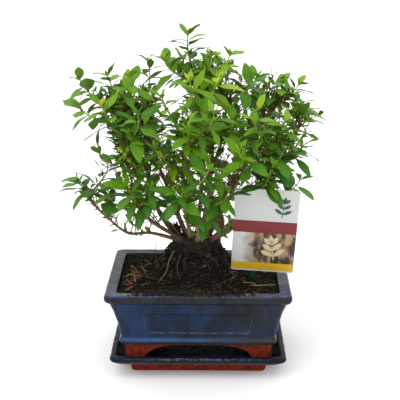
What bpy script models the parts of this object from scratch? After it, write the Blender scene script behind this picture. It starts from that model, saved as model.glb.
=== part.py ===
"""Serissa bonsai in its glazed pot, with soil, saucer and a plain plant label.

Every size below is in millimetres, and meshes are made in metres. The origin is the centre of
the saucer's flat underside, +Z is up, -Y is the front and +X is to the right.
"""

import math
import random

import bmesh
import bpy
from mathutils import Matrix, Vector
from mathutils.bvhtree import BVHTree

MM = 0.001
GAP = 0.4  # room left between pieces that touch

# Pot: half widths along X and Y, corner radius and height of each ring, outside then inside
RIM_TOP = 76.6
FOOT_BOTTOM = 12.4
POT_OUTSIDE = [
    (61.0, 41.0, 3, FOOT_BOTTOM), (62.5, 42.5, 3, 27.6), (65.5, 45.5, 4, 28.2), (66.8, 46.8, 4, 31.8),
    (65.0, 45.0, 4, 34.2), (67.2, 47.2, 4, 47.5), (70.4, 50.4, 4, 60.0), (73.4, 53.4, 4, 68.0),
    (76.6, 56.6, 5, 70.0), (77.5, 57.5, 5, 72.6), (77.1, 57.1, 5, 75.6), (76.0, 56.0, 5, RIM_TOP),
]
POT_GLAZE_FOOT = 27.9  # below this the clay is bare
POT_INSIDE = [(68.6, 48.6, 4, RIM_TOP), (67.4, 47.4, 4, 75.4), (65.5, 45.5, 4, 60.0), (60.0, 40.5, 4, 31.5)]
FOOT_ARCH_TOP = 26.0
FRONT_ARCH = (16.0, 30.0)  # half width of the flat top, then width of each rounded shoulder
SIDE_ARCH = (10.0, 18.0)
DRAIN_RADIUS = 5.0
DRAIN_X = 27.0

# Sunk panels on the four walls: heights, half widths at the foot and top, depth, bevel
PANEL_FOOT, PANEL_TOP = 38.6, 58.2
PANEL_FRONT = (42.6, 46.4)
PANEL_SIDE = (25.0, 28.0)
PANEL_DEPTH = 1.3
PANEL_BEVEL = 1.6

# Saucer rings, from the foot's underside out to the rim and down to the floor
SAUCER_FLOOR = 12.0
SAUCER_GLAZE_FOOT = 7.7  # below this the clay is bare
SAUCER = [
    (57.3, 36.5, 4, 0.0), (58.6, 37.8, 4, 7.4), (61.2, 41.2, 4, 8.4), (68.5, 49.7, 4, 12.0),
    (73.4, 54.6, 4, 16.0), (74.2, 55.4, 4, 18.4), (73.4, 54.6, 4, 19.9), (69.4, 50.6, 3, 19.9),
    (68.2, 49.4, 3, 19.0), (63.0, 44.2, 3, SAUCER_FLOOR),
]

# Soil: sides inside the pot, then a surface that rises to a mound round the trunk
SOIL_SIDES = [(59.4, 39.9, 3, 31.9), (65.0, 45.0, 3, 60.0), (66.5, 46.5, 3, 73.0)]
SOIL_EDGE = 74.0
MOUND_HEIGHT = 27.0
MOUND_CENTRE = (1.0, 4.0)
MOUND_SPREAD = (31.0, 26.0)

# Trunk: a low stump, as rings of half widths and height, standing in a plain hole in the soil
STUMP_CENTRE = (-3.0, 3.0)
STUMP_HALF = (20.5, 14.5)
STUMP_RINGS = [(0.92, 86.0), (1.0, 101.0), (0.93, 105.0), (0.72, 108.5), (0.4, 111.0)]
STUMP_SIDES = 11

# Woody limbs: thickness (radius) at the foot and at the tip, then the points that each follows
LIMBS = {
    "stub": (5.2, 4.4, [(-17, 1, 102), (-20, 0, 112), (-20, 0, 118)]),
    "low_left": (1.5, 0.8, [(-14, -4, 106), (-40, -12, 116), (-60, -17, 118), (-79, -22, 136), (-92, -24, 151)]),
    "mid_left": (1.7, 0.8, [(-12, -4, 106), (-40, -20, 130), (-50, -30, 150), (-55, -36, 176), (-58, -38, 194)]),
    "left": (2.3, 0.9, [(-15, 3, 104), (-33, -2, 130), (-41, -5, 156), (-44, -6, 186), (-46, -6, 216)]),
    "upper_left": (1.3, 0.8, [(-42, -5, 170), (-56, -6, 196), (-70, -4, 218)]),
    "front_left": (1.9, 0.8, [(-2, -4, 104), (0, -22, 120), (-4, -36, 138), (-13, -46, 156)]),
    "front_centre": (2.1, 0.8, [(-6, -2, 104), (-9, -17, 126), (-12, -28, 150), (-12, -37, 178), (-9, -43, 204)]),
    "centre": (2.5, 0.9, [(1, 2, 106), (8, -3, 140), (10, -7, 172), (9, -6, 204), (2, -2, 232), (-6, 0, 252)]),
    "top": (1.3, 0.8, [(10, -7, 168), (20, -4, 198), (23, 2, 230)]),
    "right_front": (1.7, 0.8, [(8, -2, 104), (26, -14, 124), (42, -27, 146), (54, -37, 170), (58, -40, 192)]),
    "right": (2.3, 0.8, [(11, 2, 104), (32, -6, 122), (48, -14, 140), (60, -19, 163), (74, -19, 186), (81, -13, 208)]),
    "right_up": (1.9, 0.8, [(6, 6, 104), (26, 11, 140), (42, 13, 174), (53, 9, 204), (61, 2, 222)]),
    "back_left": (1.9, 0.8, [(-10, 8, 104), (-24, 24, 136), (-38, 37, 168), (-48, 43, 200)]),
    "back": (2.0, 0.8, [(-2, 8, 106), (2, 28, 142), (5, 44, 178), (3, 48, 212)]),
    "back_right": (1.8, 0.8, [(4, 9, 104), (24, 27, 140), (42, 40, 170), (53, 42, 197)]),
}
LIMB_SIDES = 4
LIMB_STEPS = 2  # points along each span of a limb

# Where each leafy shoot ends: the crown's top, left side, right side, front and back
SHOOT_TIPS = [
    (-9, 0, 280), (10, -22, 266), (25, 6, 263), (-28, -6, 262), (-43, 14, 258),
    (-54, -26, 250), (-75, 6, 246), (-97, -2, 244), (-97, -18, 227), (-76, -40, 230), (-46, -57, 226),
    (-60, -34, 190), (-55, -52, 168), (-77, -8, 176), (-99, -24, 165), (-74, -27, 157),
    (46, -22, 250), (67, -4, 246), (82, 6, 239), (86, -14, 221), (70, -42, 217), (45, -60, 230),
    (84, -20, 194), (67, -52, 198), (83, -24, 166), (56, -46, 174),
    (-6, -48, 251), (15, -45, 253), (12, -70, 230), (-8, -66, 218), (32, -69, 202), (8, -79, 194),
    (-34, -46, 198), (-17, -74, 170), (-36, -54, 169), (12, -46, 148), (24, -58, 166), (28, -30, 216),
    (-28, -38, 236),
    (-72, 36, 208), (-50, 54, 226), (-14, 44, 254), (22, 42, 252), (48, 34, 238), (70, 38, 208),
    (-8, 74, 216), (32, 70, 204), (-42, 66, 186), (4, 76, 176), (54, 58, 170), (-68, 30, 166),
    (-24, 60, 150), (26, 52, 146),
]
SEED = 27
TIP_DROP = 26.0  # a shoot leaves its limb at least this far below its own tip
LONGEST_LEAFY = 58.0  # the rest of a longer shoot is bare wood
SHORTEST_BARE = 9.0
SHOOT_TRIES = 60
TWIG_SIDES = 3
TWIG_STEPS = 2
TWIG_RADIUS = (1.1, 0.85)
STEM_RADIUS = (0.85, 0.7)
STEM_GAP = 0.9  # between the end of the bare wood and the green stem
STEM_FREE = 1.0  # length of a stem's foot without clearance, since its own twig ends there

# Leaves, in opposite pairs that turn a quarter from one pair to the next
LEAF_PAIRS = 6  # the last pair is the young one at the tip
FIRST_PAIR, LAST_PAIR = 0.16, 1.0  # where they stand along the leafy stem
LEAF_LENGTH = (14.0, 27.0)
TOP_LEAF = 0.62  # length of a young leaf, against a grown one
LEAF_OPENING = (52, 82)  # degrees from the stem
TOP_OPENING = (30, 55)
LEAF_DROOP = (0.12, 0.42)  # fall of the tip, of the length
MOST_ROLL = 0.8
LEAF_WIDTH = 0.41  # of its length
LEAF_KEEL = 0.9  # thickness of the midrib
LEAF_CUP = 0.09  # rise of the edges, of the half width
LEAF_OUTLINE = [(0.42, 0.92), (0.76, 0.86)]  # share of the length, share of the half width
FOOT_SIZE = (1.1, 1.2)  # width and height of a leaf's foot on the stem
LEAF_TRIES = 6
OWN_FOOT = 0.15  # the share of a leaf that may lie close to its own stem
CLEARANCE = 0.7  # kept round a leaf and a stem
FOOT_CLEARANCE = 0.15  # kept between whole leaves of one shoot

# Plain label: a card on a flat stake, leaning towards the front
CARD_SIZE = (52.6, 0.8, 83.0)
CARD_FOOT = (53.8, -16.0, 83.4)
CARD_LEAN = math.radians(17.0)
CARD_ROLL = math.radians(2.7)
CARD_TURN = math.radians(-3.8)
CARD_CORNER = 1.5
STAKE_SIZE = (4.4, 1.4, 96.0)
STAKE_BELOW = 36.0  # of its length below the card's foot
STAKE_OFFSET = -7.0

COLOURS = {
    "pot_glaze": ((0.018, 0.035, 0.09), 0.28),
    "saucer_glaze": ((0.008, 0.011, 0.022), 0.22),
    "terracotta": ((0.3, 0.035, 0.018), 0.8),
    "peat": ((0.014, 0.009, 0.006), 0.95),
    "bark": ((0.095, 0.055, 0.028), 0.85),
    "leaf": ((0.055, 0.2, 0.02), 0.4),
    "card": ((0.62, 0.62, 0.58), 0.45),
    "stake": ((0.01, 0.06, 0.035), 0.4),
}


def clear_scene():
    for obj in list(bpy.data.objects):
        bpy.data.objects.remove(obj)


def material(name):
    found = bpy.data.materials.get(name)
    if found:
        return found
    colour, roughness = COLOURS[name]
    made = bpy.data.materials.new(name)
    made.use_nodes = True
    shader = made.node_tree.nodes["Principled BSDF"]
    shader.inputs["Base Color"].default_value = (*colour, 1)
    shader.inputs["Roughness"].default_value = roughness
    shader.inputs["Metallic"].default_value = 0
    return made


def make_object(name, points, faces, finish, collection=None):
    """A mesh object from points in millimetres and faces as lists of point numbers."""
    mesh = bpy.data.meshes.new(name)
    mesh.from_pydata([Vector(point) * MM for point in points], [], faces)
    mesh.materials.append(material(finish))
    obj = bpy.data.objects.new(name, mesh)
    (collection or bpy.context.scene.collection).objects.link(obj)
    return obj


def shade(obj, angle=40):
    obj.data.shade_smooth()
    obj.data.set_sharp_from_angle(angle=math.radians(angle))


def bare_clay(obj, height):
    """Gives the faces below a height the unglazed clay."""
    obj.data.materials.append(material("terracotta"))
    for polygon in obj.data.polygons:
        if polygon.center.z < height * MM:
            polygon.material_index = 1


def apply_modifiers(obj):
    graph = bpy.context.evaluated_depsgraph_get()
    solid = bpy.data.meshes.new_from_object(obj.evaluated_get(graph))
    obj.modifiers.clear()
    obj.data = solid


def keep_largest_shell(obj):
    """Drops loose scraps, and with them the walls of any hollow that a union sealed."""
    mesh = bmesh.new()
    mesh.from_mesh(obj.data)
    left = set(mesh.faces)
    shells = []
    while left:
        shell = set()
        front = [left.pop()]
        while front:
            face = front.pop()
            shell.add(face)
            beside = {other for edge in face.edges for other in edge.link_faces} & left
            left -= beside
            front.extend(beside)
        shells.append(shell)
    shells.sort(key=len)
    scraps = [face for shell in shells[:-1] for face in shell]
    bmesh.ops.delete(mesh, geom=scraps, context="FACES")
    mesh.to_mesh(obj.data)
    mesh.free()


def cut(obj, cutters):
    for cutter in cutters:
        cutter.hide_render = True
        cutter.display_type = "WIRE"
        difference = obj.modifiers.new(cutter.name, "BOOLEAN")
        difference.operation = "DIFFERENCE"
        difference.object = cutter


def join(obj, pieces):
    """One union of the object with everything in the collection, which is then removed."""
    union = obj.modifiers.new("join", "BOOLEAN")
    union.operation = "UNION"
    union.operand_type = "COLLECTION"
    union.collection = pieces
    apply_modifiers(obj)
    for piece in list(pieces.objects):
        bpy.data.objects.remove(piece)
    bpy.data.collections.remove(pieces)
    keep_largest_shell(obj)


def new_collection(name):
    made = bpy.data.collections.new(name)
    bpy.context.scene.collection.children.link(made)
    return made


# Lofts: closed bodies through rings of points

def loft(rings):
    """Points and faces through rings of equal length, closed by a face at each end."""
    count = len(rings[0])
    points = [point for ring in rings for point in ring]
    faces = [list(range(count))[::-1]]
    for level in range(len(rings) - 1):
        for i in range(count):
            j = (i + 1) % count
            low = level * count
            faces.append([low + i, low + j, low + count + j, low + count + i])
    faces.append([len(points) - count + i for i in range(count)])
    return points, faces


def rounded_ring(half_x, half_y, radius, height, steps=3):
    """A rounded rectangle, anticlockwise seen from above."""
    ring = []
    for corner, (sign_x, sign_y) in enumerate([(1, 1), (-1, 1), (-1, -1), (1, -1)]):
        for step in range(steps + 1):
            angle = math.radians(90 * (corner + step / steps))
            x = sign_x * (half_x - radius) + radius * math.cos(angle)
            y = sign_y * (half_y - radius) + radius * math.sin(angle)
            ring.append((x, y, height))
    return ring


def prism(name, outline, low, high, place, finish):
    """A solid between two copies of an outline, where place(u, v, depth) gives each point."""
    ends = [[place(u, v, depth) for u, v in outline] for depth in (low, high)]
    points, faces = loft(ends)
    obj = make_object(name, points, faces, finish)
    face_out(obj)
    return obj


def face_out(obj):
    mesh = bmesh.new()
    mesh.from_mesh(obj.data)
    bmesh.ops.recalc_face_normals(mesh, faces=mesh.faces)
    mesh.to_mesh(obj.data)
    mesh.free()


# Pot and saucer

def arch_outline(flat, shoulder):
    """Half an arch, mirrored: a flat top with a quarter ellipse down to each side."""
    rise = FOOT_ARCH_TOP - FOOT_BOTTOM
    right = []
    for step in range(4):
        angle = math.radians(30 * step)
        right.append((flat + shoulder * math.cos(angle), FOOT_BOTTOM + rise * math.sin(angle)))
    right.insert(0, (flat + shoulder, FOOT_BOTTOM - 4))
    return right + [(-u, v) for u, v in reversed(right)]


def panel_cutter(name, half_foot, half_top, wall_foot, wall_top, turned):
    """A block with sloping sides that sinks a panel into a wall; wall_* is the wall's distance."""
    slope = (wall_top - wall_foot) / (PANEL_TOP - PANEL_FOOT)
    rings = []
    for out, grow in ((-PANEL_DEPTH, -PANEL_BEVEL), (0, 0), (5, 0)):
        ring = []
        for half, height in ((-half_foot, PANEL_FOOT), (half_foot, PANEL_FOOT),
                             (half_top, PANEL_TOP), (-half_top, PANEL_TOP)):
            across = half + math.copysign(grow, half)
            level = height + (grow if height == PANEL_TOP else -grow)
            wall = wall_foot + slope * (level - PANEL_FOOT) + out
            ring.append((wall, across, level) if turned % 2 else (across, wall, level))
        if turned > 1:
            ring = [(-x, -y, z) for x, y, z in ring]
        rings.append(ring)
    points, faces = loft(rings)
    obj = make_object(name, points, faces, "pot_glaze")
    face_out(obj)
    return obj


def wall_at(height, axis):
    """The outer wall's half width on this axis at a height between the ledge and the lip."""
    for low, high in zip(POT_OUTSIDE, POT_OUTSIDE[1:]):
        if low[3] <= height <= high[3]:
            share = (height - low[3]) / (high[3] - low[3])
            return low[axis] + share * (high[axis] - low[axis])


def make_pot():
    rings = [rounded_ring(*ring) for ring in POT_OUTSIDE + POT_INSIDE]
    pot = make_object("pot", *loft(rings), "pot_glaze")
    cutters = [
        prism("cut_front_arch", arch_outline(*FRONT_ARCH), -70, 70, lambda u, v, d: (u, d, v), "pot_glaze"),
        prism("cut_side_arch", arch_outline(*SIDE_ARCH), -80, 80, lambda u, v, d: (d, u, v), "pot_glaze"),
    ]
    octagon = [(math.cos(math.radians(45 * i)), math.sin(math.radians(45 * i))) for i in range(8)]
    for side in (-1, 1):
        circle = [(side * DRAIN_X + DRAIN_RADIUS * u, DRAIN_RADIUS * v) for u, v in octagon]
        cutters.append(prism("cut_drain", circle, 15, 35, lambda u, v, d: (u, v, d), "pot_glaze"))
    for turned in range(4):
        halves = PANEL_SIDE if turned % 2 else PANEL_FRONT
        axis = 0 if turned % 2 else 1
        walls = (wall_at(PANEL_FOOT, axis), wall_at(PANEL_TOP, axis))
        cutters.append(panel_cutter("cut_panel", *halves, *walls, turned))
    cut(pot, cutters)
    apply_modifiers(pot)
    for cutter in cutters:
        bpy.data.objects.remove(cutter)
    bare_clay(pot, POT_GLAZE_FOOT)
    shade(pot)
    return pot


def make_saucer():
    rings = [rounded_ring(*ring) for ring in SAUCER]
    saucer = make_object("saucer", *loft(rings), "saucer_glaze")
    bare_clay(saucer, SAUCER_GLAZE_FOOT)
    shade(saucer)
    return saucer


# Soil

def soil_height(x, y):
    """The peat's surface: level near the walls, a mound at the trunk, and a few soft hollows."""
    across = (x - MOUND_CENTRE[0]) / MOUND_SPREAD[0]
    along = (y - MOUND_CENTRE[1]) / MOUND_SPREAD[1]
    mound = MOUND_HEIGHT * math.exp(-((across * across + along * along) ** 1.3))
    uneven = 1.1 * math.sin(0.21 * x + 1.3) * math.cos(0.27 * y - 0.4)
    return SOIL_EDGE + mound + uneven


def make_soil():
    rings = [rounded_ring(*ring) for ring in SOIL_SIDES]
    half_x, half_y, radius, _ = SOIL_SIDES[-1]
    for share in (0.97, 0.82, 0.64, 0.46, 0.28, 0.12):
        ring = rounded_ring(half_x * share, half_y * share, radius * share, 0)
        rings.append([(x, y, soil_height(x, y)) for x, y, _ in ring])
    soil = make_object("soil", *loft(rings), "peat")
    hole = make_object("cut_trunk", *loft(stump_rings([(1.0, 85.4), (1.0, 140.0)], GAP)), "peat")
    slot = make_plate("cut_stake", STAKE_SIZE, STAKE_OFFSET, -STAKE_BELOW, 1.1, GAP, "peat")
    cut(soil, [hole, slot])
    apply_modifiers(soil)
    for cutter in (hole, slot):
        bpy.data.objects.remove(cutter)
    shade(soil, 60)
    return soil


# Label

def card_frame():
    turn = Matrix.Rotation(CARD_TURN, 4, "Z")
    lean = Matrix.Rotation(CARD_LEAN, 4, "X")
    roll = Matrix.Rotation(CARD_ROLL, 4, "Y")
    return Matrix.Translation(CARD_FOOT) @ turn @ lean @ roll


def make_plate(name, size, offset, foot, back, grow, finish, corner=0.0):
    """A thin upright plate in the card's own frame, its foot at a height and its face at a depth."""
    half = size[0] / 2 + grow
    top = foot + size[2] + grow
    bottom = foot - grow
    outline = [(-half, bottom), (half, bottom), (half, top - corner), (half - corner, top),
               (corner - half, top), (-half, top - corner)]
    if corner == 0:
        outline = [(-half, bottom), (half, bottom), (half, top), (-half, top)]
    frame = card_frame()
    depths = (back - grow, back + size[1] + grow)
    return prism(name, outline, *depths, lambda u, v, d: frame @ Vector((offset + u, d, v)), finish)


def make_label():
    card = make_plate("label_card", CARD_SIZE, 0, 0, 0, 0, "card", CARD_CORNER)
    stake_back = CARD_SIZE[1] + GAP
    stake = make_plate("label_stake", STAKE_SIZE, STAKE_OFFSET, -STAKE_BELOW, stake_back, 0, "stake")
    return [card, stake]


# Wood

def stump_rings(levels, grow=0.0):
    """Uneven rings of the stump: each level gives a share of its width and a height."""
    rings = []
    for share, height in levels:
        ring = []
        for i in range(STUMP_SIDES):
            angle = 2 * math.pi * i / STUMP_SIDES
            bulge = 1 + 0.08 * math.sin(3 * angle + 1) + 0.05 * math.cos(2 * angle)
            x = STUMP_CENTRE[0] + (STUMP_HALF[0] * share * bulge + grow) * math.cos(angle)
            y = STUMP_CENTRE[1] + (STUMP_HALF[1] * share * bulge + grow) * math.sin(angle)
            ring.append((x, y, height))
        rings.append(ring)
    return rings


def smooth_path(points, steps):
    """A Catmull-Rom curve through the points."""
    ends = [2 * points[0] - points[1]] + points + [2 * points[-1] - points[-2]]
    path = []
    for a, b, c, d in zip(ends, ends[1:], ends[2:], ends[3:]):
        for step in range(steps):
            t = step / steps
            path.append(0.5 * (2 * b + (c - a) * t + (2 * a - 5 * b + 4 * c - d) * t**2
                               + (3 * b - a - 3 * c + d) * t**3))
    return path + [points[-1]]


def tube(path, first, last, sides):
    """Points and faces of a tapered tube along a path, with flat ends."""
    rings = []
    reference = Vector((0.3, 1, 0.1))
    for i, centre in enumerate(path):
        tangent = (path[min(i + 1, len(path) - 1)] - path[max(i - 1, 0)]).normalized()
        side = tangent.cross(reference).normalized()
        other = tangent.cross(side)
        radius = first + (last - first) * i / (len(path) - 1)
        turns = [2 * math.pi * k / sides for k in range(sides)]
        rings.append([centre + radius * (math.cos(a) * side + math.sin(a) * other) for a in turns])
    return loft(rings)


def limb_paths():
    return {name: smooth_path([Vector(p) for p in points], LIMB_STEPS)
            for name, (_, _, points) in LIMBS.items()}


def shoot_starts(tip, paths):
    """Places on the limbs that lie low enough for a shoot to rise from, the nearest one first."""
    found = []
    for name, path in paths.items():
        if name == "stub":
            continue
        for a, b in zip(path[1:], path[2:]):
            for point in (a, a.lerp(b, 0.5)):
                too_high = max(0.0, point.z - (tip.z - TIP_DROP))
                found.append(((tip - point).length + 2.0 * too_high, point, (b - a).normalized()))
    found.sort(key=lambda place: place[0])
    return [place[1:] for place in found]


def shoot_path(tip, start, along, bend, steps=24):
    """A curve that leaves a limb, swings out and turns up to the tip."""
    reach = (tip - start).length
    out = (along * 0.7 + (tip - start).normalized() + bend * 0.5).normalized()
    outward = Vector((tip.x, tip.y, 0)) * 0.006
    rise = (Vector((0, 0, 1)) + outward + bend).normalized()
    a = start + out * reach * 0.35
    b = tip - rise * reach * 0.35
    path = []
    for step in range(steps + 1):
        t = step / steps
        s = 1 - t
        path.append(start * s**3 + a * 3 * s * s * t + b * 3 * s * t * t + tip * t**3)
    return path


def path_lengths(path):
    lengths = [0.0]
    for a, b in zip(path, path[1:]):
        lengths.append(lengths[-1] + (b - a).length)
    return lengths


def point_at(path, lengths, distance):
    """The point and direction at a distance along the path."""
    for i in range(1, len(path)):
        if lengths[i] >= distance or i == len(path) - 1:
            share = (distance - lengths[i - 1]) / (lengths[i] - lengths[i - 1])
            return path[i - 1].lerp(path[i], share), (path[i] - path[i - 1]).normalized()


def section(path, low, high, steps):
    """Evenly spaced points of the path between two distances along it."""
    lengths = path_lengths(path)
    return [point_at(path, lengths, low + (high - low) * i / steps)[0] for i in range(steps + 1)]


def tree_of(points, faces):
    return BVHTree.FromPolygons([tuple(p) for p in points], faces)


def object_tree(obj):
    points = [vertex.co / MM for vertex in obj.data.vertices]
    return tree_of(points, [list(polygon.vertices) for polygon in obj.data.polygons])


def tube_tree(path, first, last, grow):
    return tree_of(*tube(path, first + grow, last + grow, 6))


def meets(tree, others):
    return any(tree.overlap(other) for other in others)


def plan_shoots(fixed):
    """Routes every shoot: its bare foot, which is wood, and its leafy end, clear of the others."""
    paths = limb_paths()
    limbs = [tube_tree(path, *LIMBS[name][:2], 0) for name, path in paths.items()]
    plans, stems, twigs = [], [], []
    for number, tip in enumerate(SHOOT_TIPS):
        tip = Vector(tip)
        starts = shoot_starts(tip, paths)
        draw = random.Random(SEED * 500 + number)
        for attempt in range(SHOOT_TRIES):
            start, along = starts[attempt // 4]
            spread = 0.25 + 0.1 * (attempt % 4)
            bend = Vector((draw.uniform(-spread, spread), draw.uniform(-spread, spread), 0))
            path = shoot_path(tip, start, along, bend)
            total = path_lengths(path)[-1]
            bare = max(SHORTEST_BARE, total - LONGEST_LEAFY)
            foot = section(path, 0, bare, TWIG_STEPS)
            leafy = section(path, bare + STEM_GAP, total, 20)
            stem = tube_tree(section(leafy, STEM_FREE, path_lengths(leafy)[-1], 8), *STEM_RADIUS, CLEARANCE)
            twig = tube_tree(foot, *TWIG_RADIUS, CLEARANCE)
            if not meets(stem, fixed + limbs + stems + twigs) and not meets(twig, fixed + stems):
                break
        else:
            print("shoot", number + 1, "finds no clear way")
        plans.append((foot, leafy))
        stems.append(stem)
        twigs.append(twig)
    return plans, stems


def make_wood(plans):
    wood = make_object("trunk_and_branches", *loft(stump_rings(STUMP_RINGS)), "bark")
    parts = new_collection("wood_parts")
    for name, path in limb_paths().items():
        make_object(name, *tube(path, *LIMBS[name][:2], LIMB_SIDES), "bark", parts)
    for foot, _ in plans:
        make_object("twig", *tube(foot, *TWIG_RADIUS, TWIG_SIDES), "bark", parts)
    join(wood, parts)
    shade(wood, 60)
    return wood


# Leafy shoots

def leaf_nodes(path, spin):
    """Where the pairs stand on a stem: centre, direction and the four ways out of each node."""
    lengths = path_lengths(path)
    side = Vector((math.cos(spin), math.sin(spin), 0))
    nodes = []
    for pair in range(-1, LEAF_PAIRS):
        share = 0.0 if pair < 0 else FIRST_PAIR + (LAST_PAIR - FIRST_PAIR) * pair / (LEAF_PAIRS - 1)
        centre, tangent = point_at(path, lengths, lengths[-1] * share)
        side = (side - tangent * side.dot(tangent)).normalized()
        other = tangent.cross(side)
        nodes.append((centre, tangent, [side, other, -side, -other]))
    return nodes


def choose_leaf(draw, centre, tangent, radial, grown, top):
    """How one leaf lies: where it points, which way its face looks, and its size."""
    radial = Matrix.Rotation(draw.uniform(-0.4, 0.4), 3, tangent) @ radial
    open_angle = math.radians(draw.uniform(*(TOP_OPENING if top else LEAF_OPENING)))
    along = (tangent * math.cos(open_angle) + radial * math.sin(open_angle)).normalized()
    up = (tangent - along * tangent.dot(along)).normalized()
    sky = Vector((0, 0, 1))
    turn = math.atan2(along.dot(up.cross(sky)), up.dot(sky))
    roll = max(-MOST_ROLL, min(MOST_ROLL, 0.8 * turn)) + draw.uniform(-0.2, 0.2)
    length = draw.uniform(*LEAF_LENGTH) * grown
    foot = centre + radial * 0.6 * STEM_RADIUS[0]
    return {"root": centre, "foot": foot, "along": along,
            "under": foot + radial * 0.2 * FOOT_SIZE[1] - tangent * FOOT_SIZE[1],
            "up": Matrix.Rotation(roll, 3, along) @ up, "length": length,
            "half_width": length * LEAF_WIDTH / 2 * draw.uniform(0.78, 1.22), "droop": draw.uniform(*LEAF_DROOP)}


def blade(leaf, keel=LEAF_KEEL, grow=0.0):
    """The sections of a leaf, each a right edge, a midrib below it and a left edge, then its tip."""
    side = leaf["along"].cross(leaf["up"]).normalized()
    sections = []
    for share, width in LEAF_OUTLINE:
        fall = leaf["up"] * leaf["droop"] * leaf["length"] * share**2
        centre = leaf["root"] + leaf["along"] * leaf["length"] * share - fall
        across = leaf["half_width"] * width + grow
        rise = leaf["up"] * (LEAF_CUP * across + 0.2 * keel + grow)
        sections.append([centre + side * across + rise, centre - leaf["up"] * (0.8 * keel + grow),
                         centre - side * across + rise])
    reach = leaf["length"] + grow
    return sections, leaf["root"] + leaf["along"] * reach - leaf["up"] * leaf["droop"] * reach


def leaf_foot(leaf):
    """Where a leaf opens from the stem: its right edge, its underside and its left edge."""
    side = leaf["along"].cross(leaf["up"]) * FOOT_SIZE[0] / 2
    return [leaf["foot"] + side, leaf["under"], leaf["foot"] - side]


def leaf_tree(leaf, grow, start):
    """A leaf from a share of its length on, grown on all sides, to test against what is near."""
    sections, tip = blade(leaf, grow=grow)
    foot = leaf["root"] + leaf["along"] * leaf["length"] * start
    points = [foot, *sections[0], *sections[1], tip]
    faces = [[0, 1, 2], [0, 2, 3], [0, 3, 1], [7, 4, 5], [7, 5, 6], [7, 6, 4]]
    for i in range(3):
        j = (i + 1) % 3
        faces += [[1 + i, 1 + j, 4 + j], [1 + i, 4 + j, 4 + i]]
    return tree_of(points, faces)


def base_tree(leaf):
    """A leaf as it is from its foot to its first section, to test against its own mates."""
    sections, _ = blade(leaf, grow=FOOT_CLEARANCE)
    points = leaf_foot(leaf) + sections[0]
    faces = [[3, 4, 5]]
    for i in range(3):
        j = (i + 1) % 3
        faces += [[i, j, 3 + j], [i, 3 + j, 3 + i]]
    return tree_of(points, faces)


def choose_leaves(number, path, others):
    """For each pair of a shoot its two leaves, or None where nothing fits."""
    draw = random.Random(SEED * 1000 + number)
    nodes = leaf_nodes(path, draw.uniform(0, 2 * math.pi))
    stem = tube_tree(path, *STEM_RADIUS, 0)
    pairs, mates, feet, wholes = [], [], [], []
    for pair, (centre, tangent, ways) in enumerate(nodes[1:]):
        top = pair == LEAF_PAIRS - 1
        grown = TOP_LEAF if top else 0.84 + 0.16 * math.sin(math.pi * (pair + 1) / LEAF_PAIRS)
        chosen = []
        for half in range(2):
            radial = ways[pair % 2 + 2 * half]
            kept = None
            for attempt in range(LEAF_TRIES):
                draw = random.Random(((SEED * 100 + number) * 20 + pair * 2 + half) * 10 + attempt)
                leaf = choose_leaf(draw, centre, tangent, radial, grown * (1 - 0.06 * attempt), top)
                whole = leaf_tree(leaf, CLEARANCE, 0.03)
                outer = leaf_tree(leaf, CLEARANCE, OWN_FOOT)
                foot = base_tree(leaf)
                if (not meets(whole, others) and not meets(foot, others + feet)
                        and not meets(outer, mates) and not leaf_tree(leaf, 0, OWN_FOOT).overlap(stem)):
                    kept = leaf
                    mates.append(outer)
                    feet.append(foot)
                    wholes += [whole, foot]
                    break
            chosen.append(kept)
        pairs.append(chosen)
    return nodes, pairs, wholes


def fuller_split(points, middle, quad):
    """Two triangles over a twisted side of a stem, by the diagonal that keeps the stem fuller."""
    a, b, c, d = quad
    first = points[a].lerp(points[c], 0.5) - middle
    second = points[b].lerp(points[d], 0.5) - middle
    if first.length > second.length:
        return [[a, b, c], [a, c, d]]
    return [[b, c, d], [b, d, a]]


def shoot_mesh(nodes, pairs):
    """A four-sided stem whose nodes open into leaves, as one closed surface of triangles."""
    points, faces = [], []

    def add(new):
        points.extend(new)
        return list(range(len(points) - len(new), len(points)))

    rings = []
    for level, (centre, _, ways) in enumerate(nodes):
        share = level / (len(nodes) - 1)
        radius = STEM_RADIUS[0] + (STEM_RADIUS[1] - STEM_RADIUS[0]) * share
        ring = [centre + (ways[i] + ways[i - 1]) * radius * math.sqrt(0.5) for i in range(4)]
        for half, leaf in enumerate(pairs[level - 1] if level else []):
            if leaf:
                first = (level - 1) % 2 + 2 * half
                ring[first], _, ring[(first + 1) % 4] = leaf_foot(leaf)
        rings.append(add(ring))
    faces += [rings[0][::-1], rings[-1]]
    for pair, (low, high) in enumerate(zip(rings, rings[1:])):
        for i in range(4):
            j = (i + 1) % 4
            leaf = pairs[pair][i // 2] if i % 2 == pair % 2 else None
            if leaf is None:
                faces += fuller_split(points, nodes[pair][0].lerp(nodes[pair + 1][0], 0.5),
                                      [low[i], low[j], high[j], high[i]])
                continue
            foot = add(leaf_foot(leaf)[1:2])[0]
            faces += [[low[i], low[j], foot], [low[j], high[j], foot], [low[i], foot, high[i]]]
            section_before = [high[i], foot, high[j]]
            sections, tip = blade(leaf)
            for new in sections:
                ahead = add(new)
                for k in range(3):
                    m = (k + 1) % 3
                    faces.append([section_before[k], section_before[m], ahead[m]])
                    faces.append([section_before[k], ahead[m], ahead[k]])
                section_before = ahead
            end = add([tip])[0]
            faces += [[section_before[k], section_before[(k + 1) % 3], end] for k in range(3)]
    return points, faces


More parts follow.
